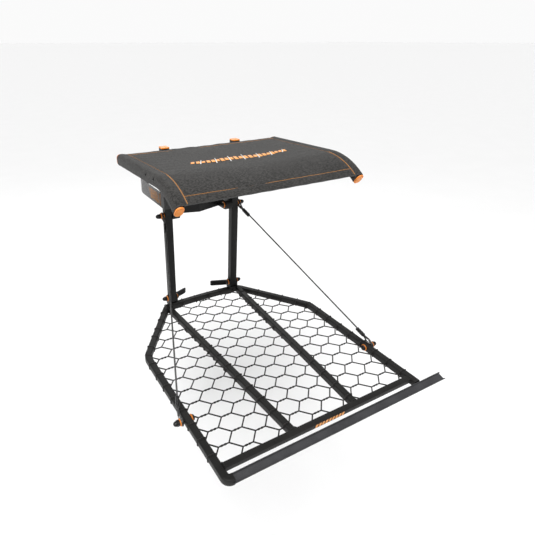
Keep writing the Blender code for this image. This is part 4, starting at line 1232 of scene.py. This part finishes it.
def strap():
    """Webbing with a fine ridge for each pair of warp threads."""
    height = STRAP_HIGH.z - STRAP_LOW.z
    middle = STRAP_MID.z
    section = [(height / 2 - 0.0004, STRAP_T / 2 - 0.0002), (height / 2 - 0.003, STRAP_T / 2)]
    ridge = [(height / 2 - 0.003 - (height - 0.006) * k / 24, STRAP_T / 2 - (0.00025 if k % 2 else 0.0))
             for k in range(1, 24)]
    section += ridge + [(-height / 2 + 0.003, STRAP_T / 2), (-height / 2 + 0.0004, STRAP_T / 2 - 0.0002)]
    section += [(a, -b) for a, b in reversed(section)]
    bm = bmesh.new()
    add_sweep(bm, [(a, b, middle) for a, b in strap_line()], (0, 0, 1), section)
    place("tree_strap_webbing", bm, "webbing", "posts", ["tree_strap"], 60)
    strap_marks(middle)
    strap_bartacks(middle)


def strap_marks(middle):
    """Slanting rows of tan topstitching that close the strap's folded end outside the left post."""
    bm = bmesh.new()
    x = -(POST_X + TUBE_R + 2 * GAP + STRAP_T + 0.0002)
    for k in range(7):
        y = 0.030 + 0.0110 * k
        for lean in (0.020, -0.007):
            ends = [(x, y, middle - 0.017), (x, y + lean / 2, middle), (x, y + lean, middle + 0.017)]
            add_tube(bm, ends, 0.0005, 6)
    place("strap_stitching", bm, "thread", "posts", (), 60)


def strap_bartacks(middle):
    """Zigzag bar tacks that close the webbing's eyes round the posts."""
    bm = bmesh.new()
    x = POST_X + TUBE_R + 2 * GAP + STRAP_T + 0.0002
    for sign in (-1, 1):
        for column in range(2):
            points = []
            for k in range(31):
                y = 0.0145 + column * 0.0045 + (0.0016 if k % 2 else -0.0016)
                points.append((sign * x, y, middle - 0.021 + 0.042 * k / 30))
            add_tube(bm, points, 0.0004, 6)
    place("strap_bartacks", bm, "thread", "posts", (), 60)


def ratchet():
    """Ratchet buckle: bevelled frame and handle, two toothed wheels and the webbing wound on the spool."""
    refined("ratchet_frame", "steel", "posts", 0.0006)
    refined("ratchet_handle", "steel", "handle", 0.0006)
    x, y = RATCHET_X, RATCHET_Y
    bm = bmesh.new()
    for z in (STRAP_LOW.z - 0.0047, STRAP_HIGH.z + 0.0037):
        teeth = []
        for k in range(RATCHET_TEETH):
            for radius, turn in ((0.0120, 0.0), (0.0098, 0.42)):
                angle = 2 * pi * (k + turn) / RATCHET_TEETH
                teeth.append((x + radius * cos(angle), y + radius * sin(angle)))
        add_plate(bm, teeth, z, z + 0.0010)
    place("ratchet_wheels", bm, "zinc", "posts", (), 30)
    bm = bmesh.new()
    turns = []
    for k in range(29):
        radius, angle = SPOOL_R + 0.0011 * k / 28, 2 * pi * k / 14
        turns.append((x + radius * cos(angle), y + radius * sin(angle), STRAP_MID.z))
    add_sweep(bm, turns, (0, 0, 1), rounded_box(0.0480, 0.0010, 0.0004, 2))
    place("ratchet_wound_webbing", bm, "webbing", "posts", (), 60)


# ---------------------------------------------------------------- floor, light and camera
def stage():
    g = Graph("pale_floor", (0.86, 0.86, 0.86), 0.75)
    g.colour(g.mix(g.noise(3.0, 2.0), (0.85, 0.85, 0.85), (0.88, 0.88, 0.88)))
    bm = bmesh.new()
    bmesh.ops.create_grid(bm, x_segments=1, y_segments=1, size=200.0)
    mesh = bpy.data.meshes.new("floor")
    bm.to_mesh(mesh)
    bm.free()
    mesh.materials.append(g.material)
    floor = bpy.data.objects.new("floor", mesh)
    floor.location.z = FLOOR_Z
    bpy.context.scene.collection.objects.link(floor)
    sky()


def sky():
    """Pale surround, white at the horizon and dimmer overhead, so that upper faces read against sides."""
    world = bpy.data.worlds.new("pale_sky")
    world.use_nodes = True
    tree = world.node_tree
    background = tree.nodes["Background"]
    background.inputs["Strength"].default_value = 1.0
    coords = tree.nodes.new("ShaderNodeTexCoord")
    split = tree.nodes.new("ShaderNodeSeparateXYZ")
    spread = tree.nodes.new("ShaderNodeMapRange")
    spread.inputs["From Min"].default_value = 0.08
    spread.inputs["From Max"].default_value = 0.40
    mix = tree.nodes.new("ShaderNodeMix")
    mix.data_type = "RGBA"
    mix.inputs[6].default_value = (0.96, 0.96, 0.96, 1)
    mix.inputs[7].default_value = (0.42, 0.42, 0.42, 1)
    tree.links.new(coords.outputs["Generated"], split.inputs[0])
    tree.links.new(split.outputs["Z"], spread.inputs["Value"])
    tree.links.new(spread.outputs["Result"], mix.inputs[0])
    tree.links.new(mix.outputs[2], background.inputs["Color"])
    bpy.context.scene.world = world


def area_light(name, place_at, target, size, energy):
    lamp = bpy.data.lights.new(name, "AREA")
    lamp.size = size
    lamp.energy = energy
    thing = bpy.data.objects.new(name, lamp)
    thing.location = place_at
    thing.rotation_euler = (Vector(target) - Vector(place_at)).to_track_quat("-Z", "Y").to_euler()
    bpy.context.scene.collection.objects.link(thing)


def lights():
    middle = (0, -0.3, 0.2)
    lamp = bpy.data.lights.new("overhead_sun", "SUN")
    lamp.energy = 2.3
    lamp.angle = radians(40)
    thing = bpy.data.objects.new("overhead_sun", lamp)
    thing.rotation_euler = (radians(24), radians(-14), 0)
    bpy.context.scene.collection.objects.link(thing)
    area_light("key_light", (-1.2, -0.9, 2.6), middle, 1.2, 26)
    area_light("rim_light", (0.9, 1.8, 1.9), middle, 1.2, 18)


def camera():
    data = bpy.data.cameras.new("view")
    data.lens = CAMERA_LENS
    data.sensor_width = CAMERA_SENSOR
    data.shift_x, data.shift_y = CAMERA_SHIFT
    eye = bpy.data.objects.new("view", data)
    eye.location = CAMERA_AT
    eye.rotation_euler = CAMERA_TURN
    bpy.context.scene.collection.objects.link(eye)
    bpy.context.scene.camera = eye
    bpy.context.scene.view_settings.view_transform = "Standard"


def build():
    camera()
    lights()
    stage()
    posts()
    hinge_ears()
    fasteners()
    platform_tubes()
    footrest()
    netting()
    bar_print()
    cables()
    seat_rails()
    sling()
    seat_print()
    sleeve_screws()
    under_seat()
    strap()
    ratchet()


build()
